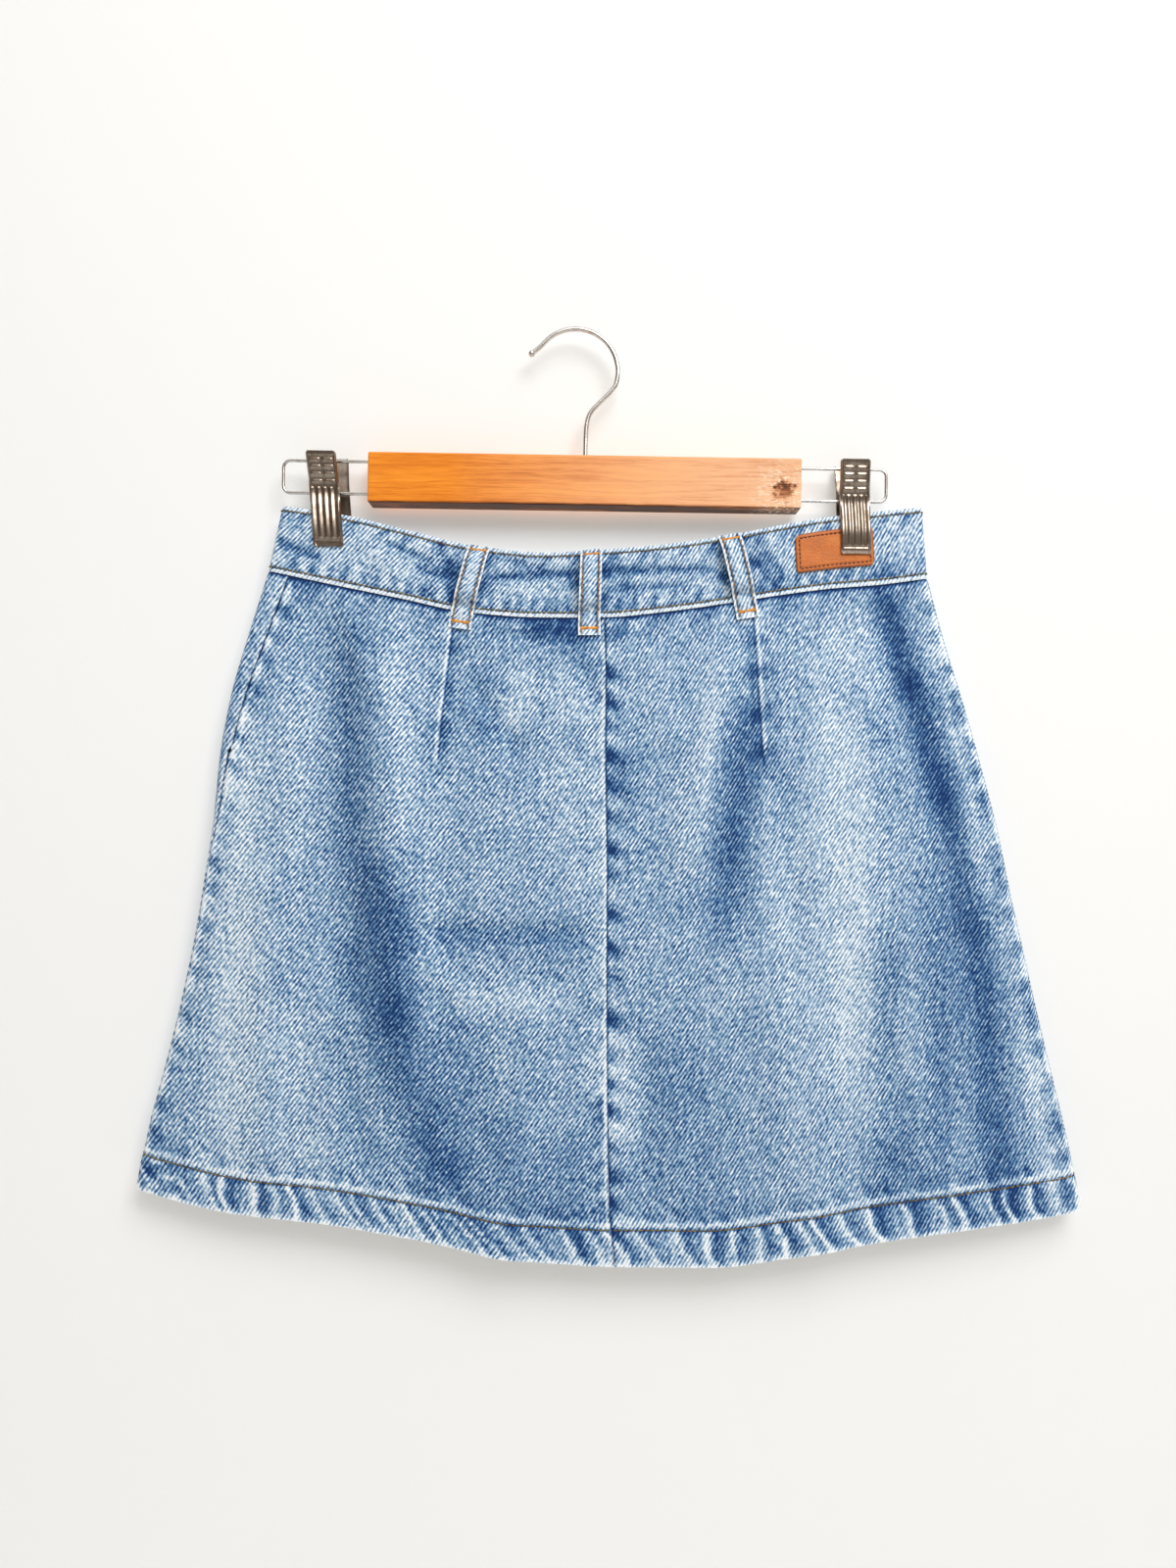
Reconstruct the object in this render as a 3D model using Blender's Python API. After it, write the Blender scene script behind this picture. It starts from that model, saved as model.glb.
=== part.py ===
"""Denim mini skirt held by a wooden clip hanger.

Metres, +Z up. The back of the skirt faces -Y. The origin is the inner crown of the
hanger's hook. The skirt is a flat tube: "across" runs from -1 (left outline) through 0
(centre seams) to 1 (right outline), and "down" runs from 0 (waist seam) to 1 (hem).
"""
import math

import bmesh
import bpy
import numpy as np

MM = 0.001
GAP = 0.3 * MM
CLOTH = 1.2 * MM
HEM_CLOTH = 2.4 * MM
HEM_HEIGHT = 20.0 * MM
PANEL_LENGTH = 350.0 * MM
BAND_CLOTH = 2.6 * MM
BAND_EDGE = 3.2 * MM
BAND_BULGE = 3.2 * MM
BAND_TOP_LEFT_IN = 7.3 * MM
BAND_TOP_RIGHT_IN = 3.5 * MM
TURN_ASPECT = 1.3
FRONT_WAIST_DROP = 7.0 * MM
FRONT_HEM_RISE = 3.0 * MM
NORMAL_STEP = 1.0e-4

SECTION_COLUMNS = ("down", "left_x", "seam_x", "right_x", "edge", "back", "front")
SECTIONS = (
    (0.0, -170.5, 19.7, 201.5, 2.5, 5.7, 5.7),
    (0.1, -181.0, 21.0, 211.5, 3.0, 7.4, 6.2),
    (0.2, -190.5, 21.3, 223.0, 3.6, 9.0, 6.8),
    (0.3, -196.3, 22.3, 233.5, 4.2, 10.4, 7.2),
    (0.4, -199.2, 23.3, 243.2, 4.7, 11.6, 7.6),
    (0.5, -203.7, 23.7, 251.0, 5.1, 12.6, 7.9),
    (0.6, -209.0, 24.3, 259.5, 5.4, 13.4, 8.2),
    (0.7, -215.8, 25.0, 268.0, 5.6, 14.0, 8.4),
    (0.8, -223.8, 25.8, 277.0, 5.8, 14.4, 8.5),
    (0.9, -232.5, 27.0, 286.0, 5.9, 14.7, 8.6),
    (1.0, -238.5, 30.5, 293.0, 6.0, 15.0, 8.7),
)

LINE_COLUMNS = ("across", "top_z", "seam_z", "hem_z", "belly")
LINES = (
    (-1.00, -101.6, -138.5, -486.5, 0.0),
    (-0.80, -106.5, -146.0, -497.4, 0.0),
    (-0.60, -114.9, -153.3, -502.0, 0.45),
    (-0.40, -123.0, -160.6, -509.8, 0.85),
    (-0.20, -126.2, -162.8, -519.3, 1.0),
    (0.00, -123.9, -162.2, -522.3, 1.0),
    (0.20, -120.2, -158.2, -522.0, 0.95),
    (0.40, -114.2, -152.4, -514.5, 0.7),
    (0.55, -108.3, -147.6, -507.5, 0.3),
    (0.70, -103.2, -143.6, -502.0, 0.0),
    (0.85, -99.8, -141.0, -496.5, 0.0),
    (1.00, -96.8, -137.0, -490.5, 0.0),
)

FOLD_COLUMNS = ("top_x", "top_z", "low_x", "low_z", "width", "height")
BACK_FOLDS = (
    (-106.0, -180.0, -84.0, -420.0, 17.0, 4.5),
    (-141.0, -165.0, -122.0, -380.0, 16.0, -3.5),
    (-168.0, -300.0, -166.0, -480.0, 14.0, 3.0),
    (174.0, -148.0, 203.0, -240.0, 9.0, -3.0),
    (203.0, -220.0, 243.0, -430.0, 10.0, -3.5),
    (165.0, -185.0, 180.0, -380.0, 24.0, 2.5),
    (90.0, -180.0, 66.0, -300.0, 11.0, 3.0),
    (105.0, -200.0, 88.0, -330.0, 12.0, -2.5),
    (-20.0, -380.0, -36.0, -540.0, 18.0, 3.0),
    (118.0, -360.0, 150.0, -540.0, 18.0, 2.5),
)
FRONT_FOLDS = (
    (-90.0, -190.0, -120.0, -500.0, 24.0, -1.5),
    (120.0, -190.0, 160.0, -500.0, 24.0, -1.5),
)

LEFT_SEAM_DOWN = (0.0, 0.1, 0.2, 0.28, 0.34, 0.40, 0.46, 1.0)
LEFT_SEAM_TURN = (0.955, 0.968, 0.982, 0.993, 1.08, 1.20, 1.34, 1.40)
SEAM_SHARE = 0.7
RIGHT_SEAM_TURN = 1.40

LOOP_CLOTH = 1.5 * MM
LOOP_HALF_WIDTH = 6.2 * MM
LOOP_BOW = 5.2 * MM
LOOP_TAIL = 0.027
LOOP_RECEDE = (0.004, 0.012)
LOOP_COLUMNS = ("name", "facing", "top_x", "low_x")
LOOPS = (
    ("loop_back_left", "back", -53.8, -60.0),
    ("loop_back_centre", "back", 11.4, 11.1),
    ("loop_back_right", "back", 90.0, 98.1),
    ("loop_front_left", "front", -72.0, -76.0),
    ("loop_front_right", "front", 108.0, 113.0),
)
BAND_SEAM_X = 11.2 * MM

PATCH_CLOTH = 1.2 * MM
PATCH_LEFT = 127.6 * MM
PATCH_RIGHT = 171.8 * MM
PATCH_LOW = 0.27
PATCH_HIGH = 0.81

PLACKET_HALF_WIDTH = 16.0 * MM
PLACKET_DOWN = 0.30

BUTTON_X = 33.0 * MM
BUTTON_RADIUS = 8.5 * MM
BUTTON_THICK = 3.2 * MM
BUTTON_UP = 0.5

BAR_LEFT = -114.0 * MM
BAR_RIGHT = 128.5 * MM
BAR_TOP = -71.8 * MM
BAR_LOW = -99.9 * MM
BAR_DEPTH = 17.0 * MM
BAR_EASE = 0.9 * MM
SOCKET_DEPTH = 14.0 * MM

HOOK_WIRE = 1.4 * MM
HOOK_RADIUS = 24.0 * MM
HOOK_CENTRE_X = 1.0 * MM
HOOK_ARC_FROM = -20.0
HOOK_ARC_TO = 132.0
HOOK_ARC_STEPS = 20
HOOK_TIP = ((-19.6, -9.6), (-24.4, -13.4))
HOOK_SHANK = ((20.4, -34.6), (14.2, -40.8), (9.6, -45.6), (7.8, -51.5), (7.3, -58.0))

FRAME_WIRE = 0.95 * MM
FRAME_LEFT = -163.0 * MM
FRAME_RIGHT = 177.6 * MM
FRAME_TOP = -75.5 * MM
FRAME_LOW = -93.7 * MM
FRAME_CORNER = 4.0 * MM

SPRING_RADIUS = 3.2 * MM
SPRING_LENGTH = 9.0 * MM
JAW_SHEET = 0.9 * MM
JAW_HALF_WIDTH = 8.4 * MM
JAW_COLUMNS = ("up", "out", "flange")
JAW_ROWS = (
    (21.7, 8.6, 0.0),
    (20.7, 8.4, 2.4),
    (12.1, 6.4, 2.6),
    (5.0, 4.4, 1.2),
    (-1.0, 3.5, 0.0),
    (-8.0, 4.4, 0.0),
    (-17.9, 4.9, 0.0),
    (-25.9, 4.2, 0.0),
    (-28.9, 3.5, 0.0),
    (-30.5, 3.5, 0.0),
)
CLIP_COLUMNS = ("name", "pivot_x", "lean", "front_extra", "back_aside")
CLIPS = (
    ("clip_left", -138.7, 0.088, 0.0, 4.2),
    ("clip_right", 159.2, 0.030, 1.5, -0.6),
)

DENIM = (0.36, 0.47, 0.60)
LEATHER = (0.62, 0.30, 0.11)
WOOD = (0.75, 0.35, 0.09)
STEEL = (0.62, 0.60, 0.57)
BRASS = (0.60, 0.45, 0.25)


def clear_scene():
    for item in list(bpy.data.objects):
        bpy.data.objects.remove(item, do_unlink=True)


def material(name, colour, roughness, metallic):
    made = bpy.data.materials.new(name)
    made.use_nodes = True
    shader = made.node_tree.nodes["Principled BSDF"]
    shader.inputs["Base Color"].default_value = (*colour, 1.0)
    shader.inputs["Roughness"].default_value = roughness
    shader.inputs["Metallic"].default_value = metallic
    return made


def column(names, rows, name):
    return np.array([row[names.index(name)] for row in rows], dtype=float)


def curve(at, knots, values):
    """Smooth curve through a table, with no overshoot between its rows."""
    span = np.diff(knots)
    slope = np.diff(values) / span
    product = slope[:-1] * slope[1:]
    total = slope[:-1] + slope[1:]
    safe = np.where(np.abs(total) < 1e-9, 1.0, total)
    tangent = np.zeros(len(knots))
    tangent[1:-1] = np.where(product > 0.0, 2.0 * product / safe, 0.0)
    tangent[0] = slope[0]
    tangent[-1] = slope[-1]
    cell = np.clip(np.searchsorted(knots, at) - 1, 0, len(knots) - 2)
    t = (at - knots[cell]) / span[cell]
    rise = (3.0 - 2.0 * t) * t * t
    lift = t * (1.0 - t) ** 2 * tangent[cell] - t * t * (1.0 - t) * tangent[cell + 1]
    return values[cell] * (1.0 - rise) + values[cell + 1] * rise + lift * span[cell]


def section(name, down):
    knots = column(SECTION_COLUMNS, SECTIONS, "down")
    return curve(down, knots, column(SECTION_COLUMNS, SECTIONS, name)) * MM


def line(name, across):
    knots = column(LINE_COLUMNS, LINES, "across")
    scale = 1.0 if name == "belly" else MM
    return curve(across, knots, column(LINE_COLUMNS, LINES, name)) * scale


def ease(value):
    t = np.clip(value, 0.0, 1.0)
    return t * t * (3.0 - 2.0 * t)


def fold_height(x, z, folds):
    """Sum of the long soft folds at a point of a panel, outward positive."""
    total = np.zeros_like(x)
    for top_x, top_z, low_x, low_z, width, height in folds:
        run = np.array((low_x - top_x, low_z - top_z)) * MM
        length = math.hypot(*run)
        along = ((x - top_x * MM) * run[0] + (z - top_z * MM) * run[1]) / length ** 2
        aside = ((x - top_x * MM) * run[1] - (z - top_z * MM) * run[0]) / length
        ends = ease(along / 0.3 + 0.5) * ease((1.0 - along) / 0.3 + 0.5)
        total = total + height * MM * ends * np.exp(-(aside / (width * MM)) ** 2)
    return total


def tube_x(side, turn, left, middle, right, edge):
    """X of the tube: turn 0 is centre back, 1 to 2 the side's turn, 3 centre front."""
    outline = np.where(side < 0, left, right)
    inner = outline - side * edge * TURN_ASPECT
    flat = np.where(turn < 1.5, turn, 3.0 - turn)
    angle = np.clip(turn - 1.0, 0.0, 1.0) * math.pi
    straight = middle + (inner - middle) * np.minimum(flat, 1.0)
    x = straight + side * edge * TURN_ASPECT * np.sin(angle)
    return x, side * (x - middle) / (side * (outline - middle))


def panel_point(side, turn, down):
    """Outer face of the skirt's panels."""
    edge = section("edge", down)
    x, across = tube_x(side, turn, section("left_x", down), section("seam_x", down),
                       section("right_x", down), edge)
    across = side * np.abs(across)
    front = turn > 1.5
    middle = 1.0 - across * across
    seam_z = line("seam_z", across) - GAP / 2 - np.where(front, FRONT_WAIST_DROP * middle, 0.0)
    hem_z = line("hem_z", across) + np.where(front, FRONT_HEM_RISE * middle, 0.0)
    z = seam_z + (hem_z - seam_z) * down
    low = ease(down / 0.35)
    belly = line("belly", across) * (1.0 - low) + (1.0 - np.abs(across) ** 3) * low
    back_y = edge + (section("back", down) - edge) * belly
    front_y = edge + (section("front", down) - edge) * belly
    still = (1.0 - across ** 8) * ease(down / 0.06)
    back_y = back_y + fold_height(x, z, BACK_FOLDS) * still
    front_y = front_y + fold_height(x, z, FRONT_FOLDS) * still
    angle = np.clip(turn - 1.0, 0.0, 1.0) * math.pi
    y = -edge * np.cos(angle)
    y = np.where(turn <= 1.0, -back_y, y)
    y = np.where(turn >= 2.0, front_y, y)
    return np.stack((x, y, z), axis=-1)


def band_point(side, turn, up):
    """Outer face of the waistband: up is 0 at the waist seam and 1 at the top."""
    edge = BAND_EDGE
    still = np.zeros_like(up)
    left = section("left_x", still) + BAND_TOP_LEFT_IN * up
    right = section("right_x", still) - BAND_TOP_RIGHT_IN * up
    x, across = tube_x(side, turn, left, section("seam_x", still), right, edge)
    across = side * np.abs(across)
    front = turn > 1.5
    drop = np.where(front, FRONT_WAIST_DROP * (1.0 - across * across), 0.0)
    seam_z = line("seam_z", across) + GAP / 2 - drop
    top_z = line("top_z", across) - drop
    z = seam_z + (top_z - seam_z) * up
    out = edge + BAND_BULGE * line("belly", across)
    angle = np.clip(turn - 1.0, 0.0, 1.0) * math.pi
    y = -edge * np.cos(angle)
    y = np.where(turn <= 1.0, -out, y)
    y = np.where(turn >= 2.0, out, y)
    return np.stack((x, y, z), axis=-1)


def normal(point, side, turn, height):
    """Outward direction of a tube's face, from its slope both ways."""
    step = NORMAL_STEP
    along = point(side, turn + step, height) - point(side, turn - step, height)
    upward = point(side, turn, height + step) - point(side, turn, height - step)
    across = np.cross(along, upward)
    across = across / np.linalg.norm(across, axis=-1, keepdims=True)
    places = point(side, turn, height)
    outward = np.where(turn > 1.5, 1.0, -1.0)
    at_turn = np.abs(turn - 1.5) < 0.5
    facing = np.where(at_turn, across[..., 0] * side, across[..., 1] * outward)
    return across * np.where(facing < 0.0, -1.0, 1.0)[..., None] + places * 0.0


def shell(name, outer, inner, columns, rows, finish):
    """Closed sheet of cloth between two faces, each a function of (a, b) in 0..1."""
    mesh = bpy.data.meshes.new(name)
    bm = bmesh.new()
    for face in (outer, inner):
        made = bmesh.ops.create_grid(bm, x_segments=columns, y_segments=rows, size=1.0)
        verts = made["verts"]
        flat = np.array([tuple(v.co) for v in verts])
        places = face((flat[:, 0] + 1.0) / 2.0, (flat[:, 1] + 1.0) / 2.0)
        for vert, place in zip(verts, places):
            vert.co = place
    rims = [e for e in bm.edges if e.is_boundary]
    bmesh.ops.bridge_loops(bm, edges=rims)
    bmesh.ops.recalc_face_normals(bm, faces=bm.faces)
    bm.to_mesh(mesh)
    bm.free()
    return add_object(name, mesh, finish)


def add_object(name, mesh, finish):
    made = bpy.data.objects.new(name, mesh)
    bpy.context.scene.collection.objects.link(made)
    mesh.materials.append(finish)
    mesh.shade_smooth()
    mesh.set_sharp_from_angle(angle=math.radians(40.0))
    return made


def denim(name):
    return material("denim_" + name, DENIM, 0.85, 0.0)


def spread(values, at):
    return np.interp(at, np.linspace(0.0, 1.0, len(values)), values)


def panel_rows():
    """Rows from waist to hem, closer where the left side seam leaves the back."""
    start = 1.0 - HEM_HEIGHT / PANEL_LENGTH
    return np.concatenate((np.linspace(0.0, 0.28, 5), np.linspace(0.31, 0.46, 6),
                           np.linspace(0.55, start, 6), (start + 0.004, 1.0)))


def wall(down):
    start = 1.0 - HEM_HEIGHT / PANEL_LENGTH
    return CLOTH + (HEM_CLOTH - CLOTH) * ease((down - start) / 0.004)


def side_seam(side, down):
    if side > 0:
        return np.full_like(down, RIGHT_SEAM_TURN)
    return np.interp(down, LEFT_SEAM_DOWN, LEFT_SEAM_TURN)


def seam_gap(side, turn, down):
    """Half of the gap at a seam, as a share of the tube's own measure."""
    half_width = section("right_x", down) - section("left_x", down)
    edge = section("edge", down) * (1.0 + TURN_ASPECT) / 2.0
    return np.where(turn < 1.0, GAP / half_width, GAP * SEAM_SHARE / (math.pi * edge))


def panel_faces(side, turn_at, rows):
    """The two faces of one panel, from its spread of columns."""
    def place(a, b, depth):
        down = spread(rows, b)
        turn = turn_at(side, a, down)
        lean = normal(panel_point, side, turn, down)
        return panel_point(side, turn, down) - lean * (wall(down) * depth)[:, None]
    return (lambda a, b: place(a, b, 0.0)), (lambda a, b: place(a, b, 1.0))


def back_columns(side, a, down):
    start = GAP / (section("right_x", down) - section("left_x", down))
    end = side_seam(side, down)
    end = end - seam_gap(side, end, down)
    knee = 0.78
    flat = start + (0.9 - start) * np.minimum(a / knee, 1.0)
    return np.where(a <= knee, flat, 0.9 + (end - 0.9) * (a - knee) / (1.0 - knee))


def front_columns(side, a, down):
    start = side_seam(side, down)
    start = start + seam_gap(side, start, down)
    end = 3.0 - GAP / (section("right_x", down) - section("left_x", down))
    knee = 0.4
    turning = start + (2.08 - start) * np.minimum(a / knee, 1.0)
    return np.where(a <= knee, turning, 2.08 + (end - 2.08) * (a - knee) / (1.0 - knee))


def make_panels():
    rows = panel_rows()
    for label, side in (("left", -1), ("right", 1)):
        outer, inner = panel_faces(side, back_columns, rows)
        shell("back_" + label, outer, inner, 18, len(rows) - 1, denim("back_" + label))
        outer, inner = panel_faces(side, front_columns, rows)
        shell("front_" + label, outer, inner, 20, len(rows) - 1, denim("front_" + label))


def band_turn(x, side):
    """Measure round the band, on its back or front face, for a place across."""
    zero = np.zeros_like(x)
    middle = section("seam_x", zero)
    outline = section("left_x", zero) if side < 0 else section("right_x", zero)
    return (x - middle) / (outline - side * BAND_EDGE * TURN_ASPECT - middle)


def band_face(side, depth):
    start = float(band_turn(np.array([BAND_SEAM_X]), -1.0)[0])

    def place(a, b):
        first = (start if side < 0 else -start * 190.0 / 182.0) + GAP / 380.0 / MM
        last = 3.0 - GAP / (365.0 * MM)
        knots = np.concatenate((np.linspace(first, 0.96, 15), np.linspace(1.0, 2.0, 9),
                                np.linspace(2.04, last, 15)))
        turn = spread(knots, a)
        lean = normal(band_point, side, turn, b)
        return band_point(side, turn, b) - lean * BAND_CLOTH * depth
    return place


def make_waistband():
    for label, side in (("left", -1), ("right", 1)):
        name = "waistband_" + label
        shell(name, band_face(side, 0.0), band_face(side, 1.0), 38, 4, denim(name))


def skin(facing, x, up):
    """Cloth face and its outward direction; up below 0 is the panel under the seam."""
    turn = np.zeros_like(x)
    side = np.where(x < section("seam_x", turn), -1.0, 1.0)
    turn = np.where(side < 0, band_turn(x, -1.0), band_turn(x, 1.0))
    turn = turn if facing == "back" else 3.0 - turn
    on_band = band_point(side, turn, np.maximum(up, 0.0))
    on_panel = panel_point(side, turn, np.maximum(-up, 0.0))
    share = ease((-up - LOOP_RECEDE[0]) / (LOOP_RECEDE[1] - LOOP_RECEDE[0]))[:, None]
    places = on_band * (1.0 - share) + on_panel * share
    below = np.where(up < 0.0, on_panel[:, 2], on_band[:, 2])
    places[:, 2] = below
    lean = np.zeros_like(places)
    lean[:, 1] = -1.0 if facing == "back" else 1.0
    return places, lean


def loop_face(facing, top_x, low_x, lift):
    def place(a, b):
        knots = np.concatenate((np.linspace(1.0, 0.0, 9), (-0.004, -0.012, -LOOP_TAIL)))
        up = spread(knots, b)
        middle = top_x + (low_x - top_x) * (1.0 - up)
        x = middle * MM + (a - 0.5) * 2.0 * LOOP_HALF_WIDTH
        places, lean = skin(facing, x, up)
        height = np.clip((0.97 - up) / 0.90, 0.0, 1.0)
        bow = LOOP_BOW * (1.0 - (2.0 * height - 1.0) ** 6) ** 2
        return places + lean * (GAP + bow + lift)[:, None]
    return place


def make_loops():
    for name, facing, top_x, low_x in LOOPS:
        outer = loop_face(facing, top_x, low_x, LOOP_CLOTH)
        inner = loop_face(facing, top_x, low_x, 0.0)
        shell(name, outer, inner, 2, 22, denim(name))


def make_patch():
    def face(lift):
        def place(a, b):
            x = PATCH_LEFT + (PATCH_RIGHT - PATCH_LEFT) * a
            places, lean = skin("back", x, PATCH_LOW + (PATCH_HIGH - PATCH_LOW) * b)
            return places + lean * (GAP + lift)
        return place
    finish = material("leather_patch", LEATHER, 0.55, 0.0)
    shell("leather_patch", face(PATCH_CLOTH), face(0.0), 10, 3, finish)


def make_placket():
    def face(depth):
        def place(a, b):
            down = 0.004 + PLACKET_DOWN * b
            x = section("seam_x", down) + (a - 0.5) * 2.0 * PLACKET_HALF_WIDTH
            side = np.where(a < 0.5, -1.0, 1.0)
            outline = np.where(side < 0, section("left_x", down), section("right_x", down))
            edge = section("edge", down) * TURN_ASPECT
            turn = 3.0 - (x - section("seam_x", down)) / (outline - side * edge
                                                          - section("seam_x", down))
            places = panel_point(side, turn, down)
            places[:, 1] -= CLOTH * 1.02 + GAP + depth
            return places
        return place
    shell("fly_placket", face(0.0), face(CLOTH), 4, 6, denim("fly_placket"))


def revolve(name, profile, axis, centre, steps, finish):
    """Closed body of revolution: profile is (along, radius) pairs, with ends on the axis."""
    mesh = bpy.data.meshes.new(name)
    bm = bmesh.new()
    verts = [bm.verts.new((radius, 0.0, along)) for along, radius in profile]
    closed = profile[0][1] > 0.0
    pairs = list(zip(verts, verts[1:]))
    if closed:
        pairs.append((verts[-1], verts[0]))
    edges = [bm.edges.new(pair) for pair in pairs]
    bmesh.ops.spin(bm, geom=verts + edges, cent=(0, 0, 0), axis=(0, 0, 1),
                   angle=math.tau, steps=steps, use_merge=True)
    bmesh.ops.remove_doubles(bm, verts=bm.verts, dist=1e-6)
    turn = {"x": ((0, 0, 1), (0, 1, 0), (-1, 0, 0)), "y": ((1, 0, 0), (0, 0, 1), (0, -1, 0))}
    rows = np.array(turn[axis], dtype=float)
    for vert in bm.verts:
        vert.co = rows @ np.array(vert.co) + np.array(centre)
    bmesh.ops.recalc_face_normals(bm, faces=bm.faces)
    bm.to_mesh(mesh)
    bm.free()
    return add_object(name, mesh, finish)


def make_button():
    zero = np.array([BUTTON_X])
    places, _ = skin("front", zero, np.array([BUTTON_UP]))
    x, y, z = places[0]
    rim = BUTTON_RADIUS
    thick = BUTTON_THICK
    profile = ((0.0, 0.0), (0.0, rim * 0.9), (thick * 0.3, rim), (thick * 0.8, rim),
               (thick, rim * 0.9), (thick * 0.8, rim * 0.7), (thick * 0.7, 0.0))
    finish = material("waist_button", BRASS, 0.35, 1.0)
    revolve("waist_button", profile, "y", (x, y + GAP, z), 24, finish)


def rounded(corners, radius):
    """Path through the corners of a wire, each turned with a radius."""
    path = [np.array(corners[0])]
    for before, here, after in zip(corners, corners[1:], corners[2:]):
        here = np.array(here)
        back = (np.array(before) - here) / np.linalg.norm(np.array(before) - here)
        ahead = (np.array(after) - here) / np.linalg.norm(np.array(after) - here)
        centre = here + (back + ahead) * radius
        for step in range(7):
            angle = step / 6 * math.pi / 2
            path.append(centre - ahead * radius * math.cos(angle)
                        - back * radius * math.sin(angle))
    path.append(np.array(corners[-1]))
    return path


def wire(name, path, radius, finish):
    data = bpy.data.curves.new(name, "CURVE")
    data.dimensions = "3D"
    data.bevel_depth = radius
    data.bevel_resolution = 2
    data.use_fill_caps = True
    spline = data.splines.new("POLY")
    spline.points.add(len(path) - 1)
    for knot, place in zip(spline.points, path):
        knot.co = (*place, 1.0)
    guide = bpy.data.objects.new(name + "_guide", data)
    bpy.context.scene.collection.objects.link(guide)
    mesh = bpy.data.meshes.new_from_object(guide.evaluated_get(
        bpy.context.evaluated_depsgraph_get()))
    bpy.data.objects.remove(guide, do_unlink=True)
    mesh.name = name
    bm = bmesh.new()
    bm.from_mesh(mesh)
    bmesh.ops.remove_doubles(bm, verts=bm.verts, dist=1e-6)
    bmesh.ops.recalc_face_normals(bm, faces=bm.faces)
    bm.to_mesh(mesh)
    bm.free()
    mesh.materials.clear()
    return add_object(name, mesh, finish)


def hook_path():
    centre = np.array((HOOK_CENTRE_X, HOOK_WIRE - HOOK_RADIUS))
    angles = np.radians(np.linspace(HOOK_ARC_TO, HOOK_ARC_FROM, HOOK_ARC_STEPS))
    arc = [centre + HOOK_RADIUS * np.array((math.cos(a), math.sin(a))) for a in angles]
    tip = [np.array(p) * MM for p in reversed(HOOK_TIP)]
    shank = [np.array(p) * MM for p in HOOK_SHANK]
    foot = np.array((HOOK_SHANK[-1][0] * MM, BAR_TOP - SOCKET_DEPTH + GAP))
    flat = tip + arc + shank + [foot]
    return [np.array((p[0], 0.0, p[1])) for p in smooth_path(flat)]


def smooth_path(points):
    """Points with the corners cut once, ends kept."""
    cut = [points[0]]
    for first, second in zip(points, points[1:]):
        cut.append(first * 0.75 + second * 0.25)
        cut.append(first * 0.25 + second * 0.75)
    cut.append(points[-1])
    return cut


def make_hook():
    wire("hook", hook_path(), HOOK_WIRE, material("hook", STEEL, 0.25, 1.0))


def make_frames():
    for label, tip, bar in (("left", FRAME_LEFT, BAR_LEFT), ("right", FRAME_RIGHT, BAR_RIGHT)):
        inward = math.copysign(SOCKET_DEPTH - GAP, bar - tip)
        corners = ((bar + inward, 0.0, FRAME_TOP), (tip, 0.0, FRAME_TOP),
                   (tip, 0.0, FRAME_LOW), (bar + inward, 0.0, FRAME_LOW))
        name = "wire_" + label
        wire(name, rounded(corners, FRAME_CORNER), FRAME_WIRE,
             material(name, STEEL, 0.25, 1.0))


def cutter(name, radius, depth, centre, axis):
    mesh = bpy.data.meshes.new(name)
    bm = bmesh.new()
    bmesh.ops.create_cone(bm, cap_ends=True, segments=16, radius1=radius, radius2=radius,
                          depth=depth)
    bm.to_mesh(mesh)
    bm.free()
    made = bpy.data.objects.new(name, mesh)
    made.location = centre
    made.rotation_euler = (0.0, math.pi / 2 if axis == "x" else 0.0, 0.0)
    made.hide_render = True
    made.display_type = "WIRE"
    bpy.context.scene.collection.objects.link(made)
    return made


def socket_cutters():
    depth = 2.0 * SOCKET_DEPTH
    bore = FRAME_WIRE + GAP
    made = [cutter("cut_hook", HOOK_WIRE + GAP, depth,
                   (HOOK_SHANK[-1][0] * MM, 0.0, BAR_TOP), "z")]
    for label, x in (("left", BAR_LEFT), ("right", BAR_RIGHT)):
        for level, z in (("top", FRAME_TOP), ("low", FRAME_LOW)):
            made.append(cutter(f"cut_{label}_{level}", bore, depth, (x, 0.0, z), "x"))
    return made


def make_bar():
    mesh = bpy.data.meshes.new("wood_bar")
    bm = bmesh.new()
    made = bmesh.ops.create_cube(bm, size=1.0)
    middle = np.array(((BAR_LEFT + BAR_RIGHT) / 2, 0.0, (BAR_TOP + BAR_LOW) / 2))
    size = np.array((BAR_RIGHT - BAR_LEFT, BAR_DEPTH, BAR_TOP - BAR_LOW))
    for vert in made["verts"]:
        vert.co = middle + np.array(vert.co) * size
    bmesh.ops.bevel(bm, geom=bm.edges, offset=BAR_EASE, segments=2, profile=0.5,
                    affect="EDGES", material=-1)
    bm.to_mesh(mesh)
    bm.free()
    bar = add_object("wood_bar", mesh, material("wood_bar", WOOD, 0.35, 0.0))
    for tool in socket_cutters():
        cut = bar.modifiers.new(tool.name, "BOOLEAN")
        cut.operation = "DIFFERENCE"
        cut.solver = "EXACT"
        cut.object = tool
    return bar


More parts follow.
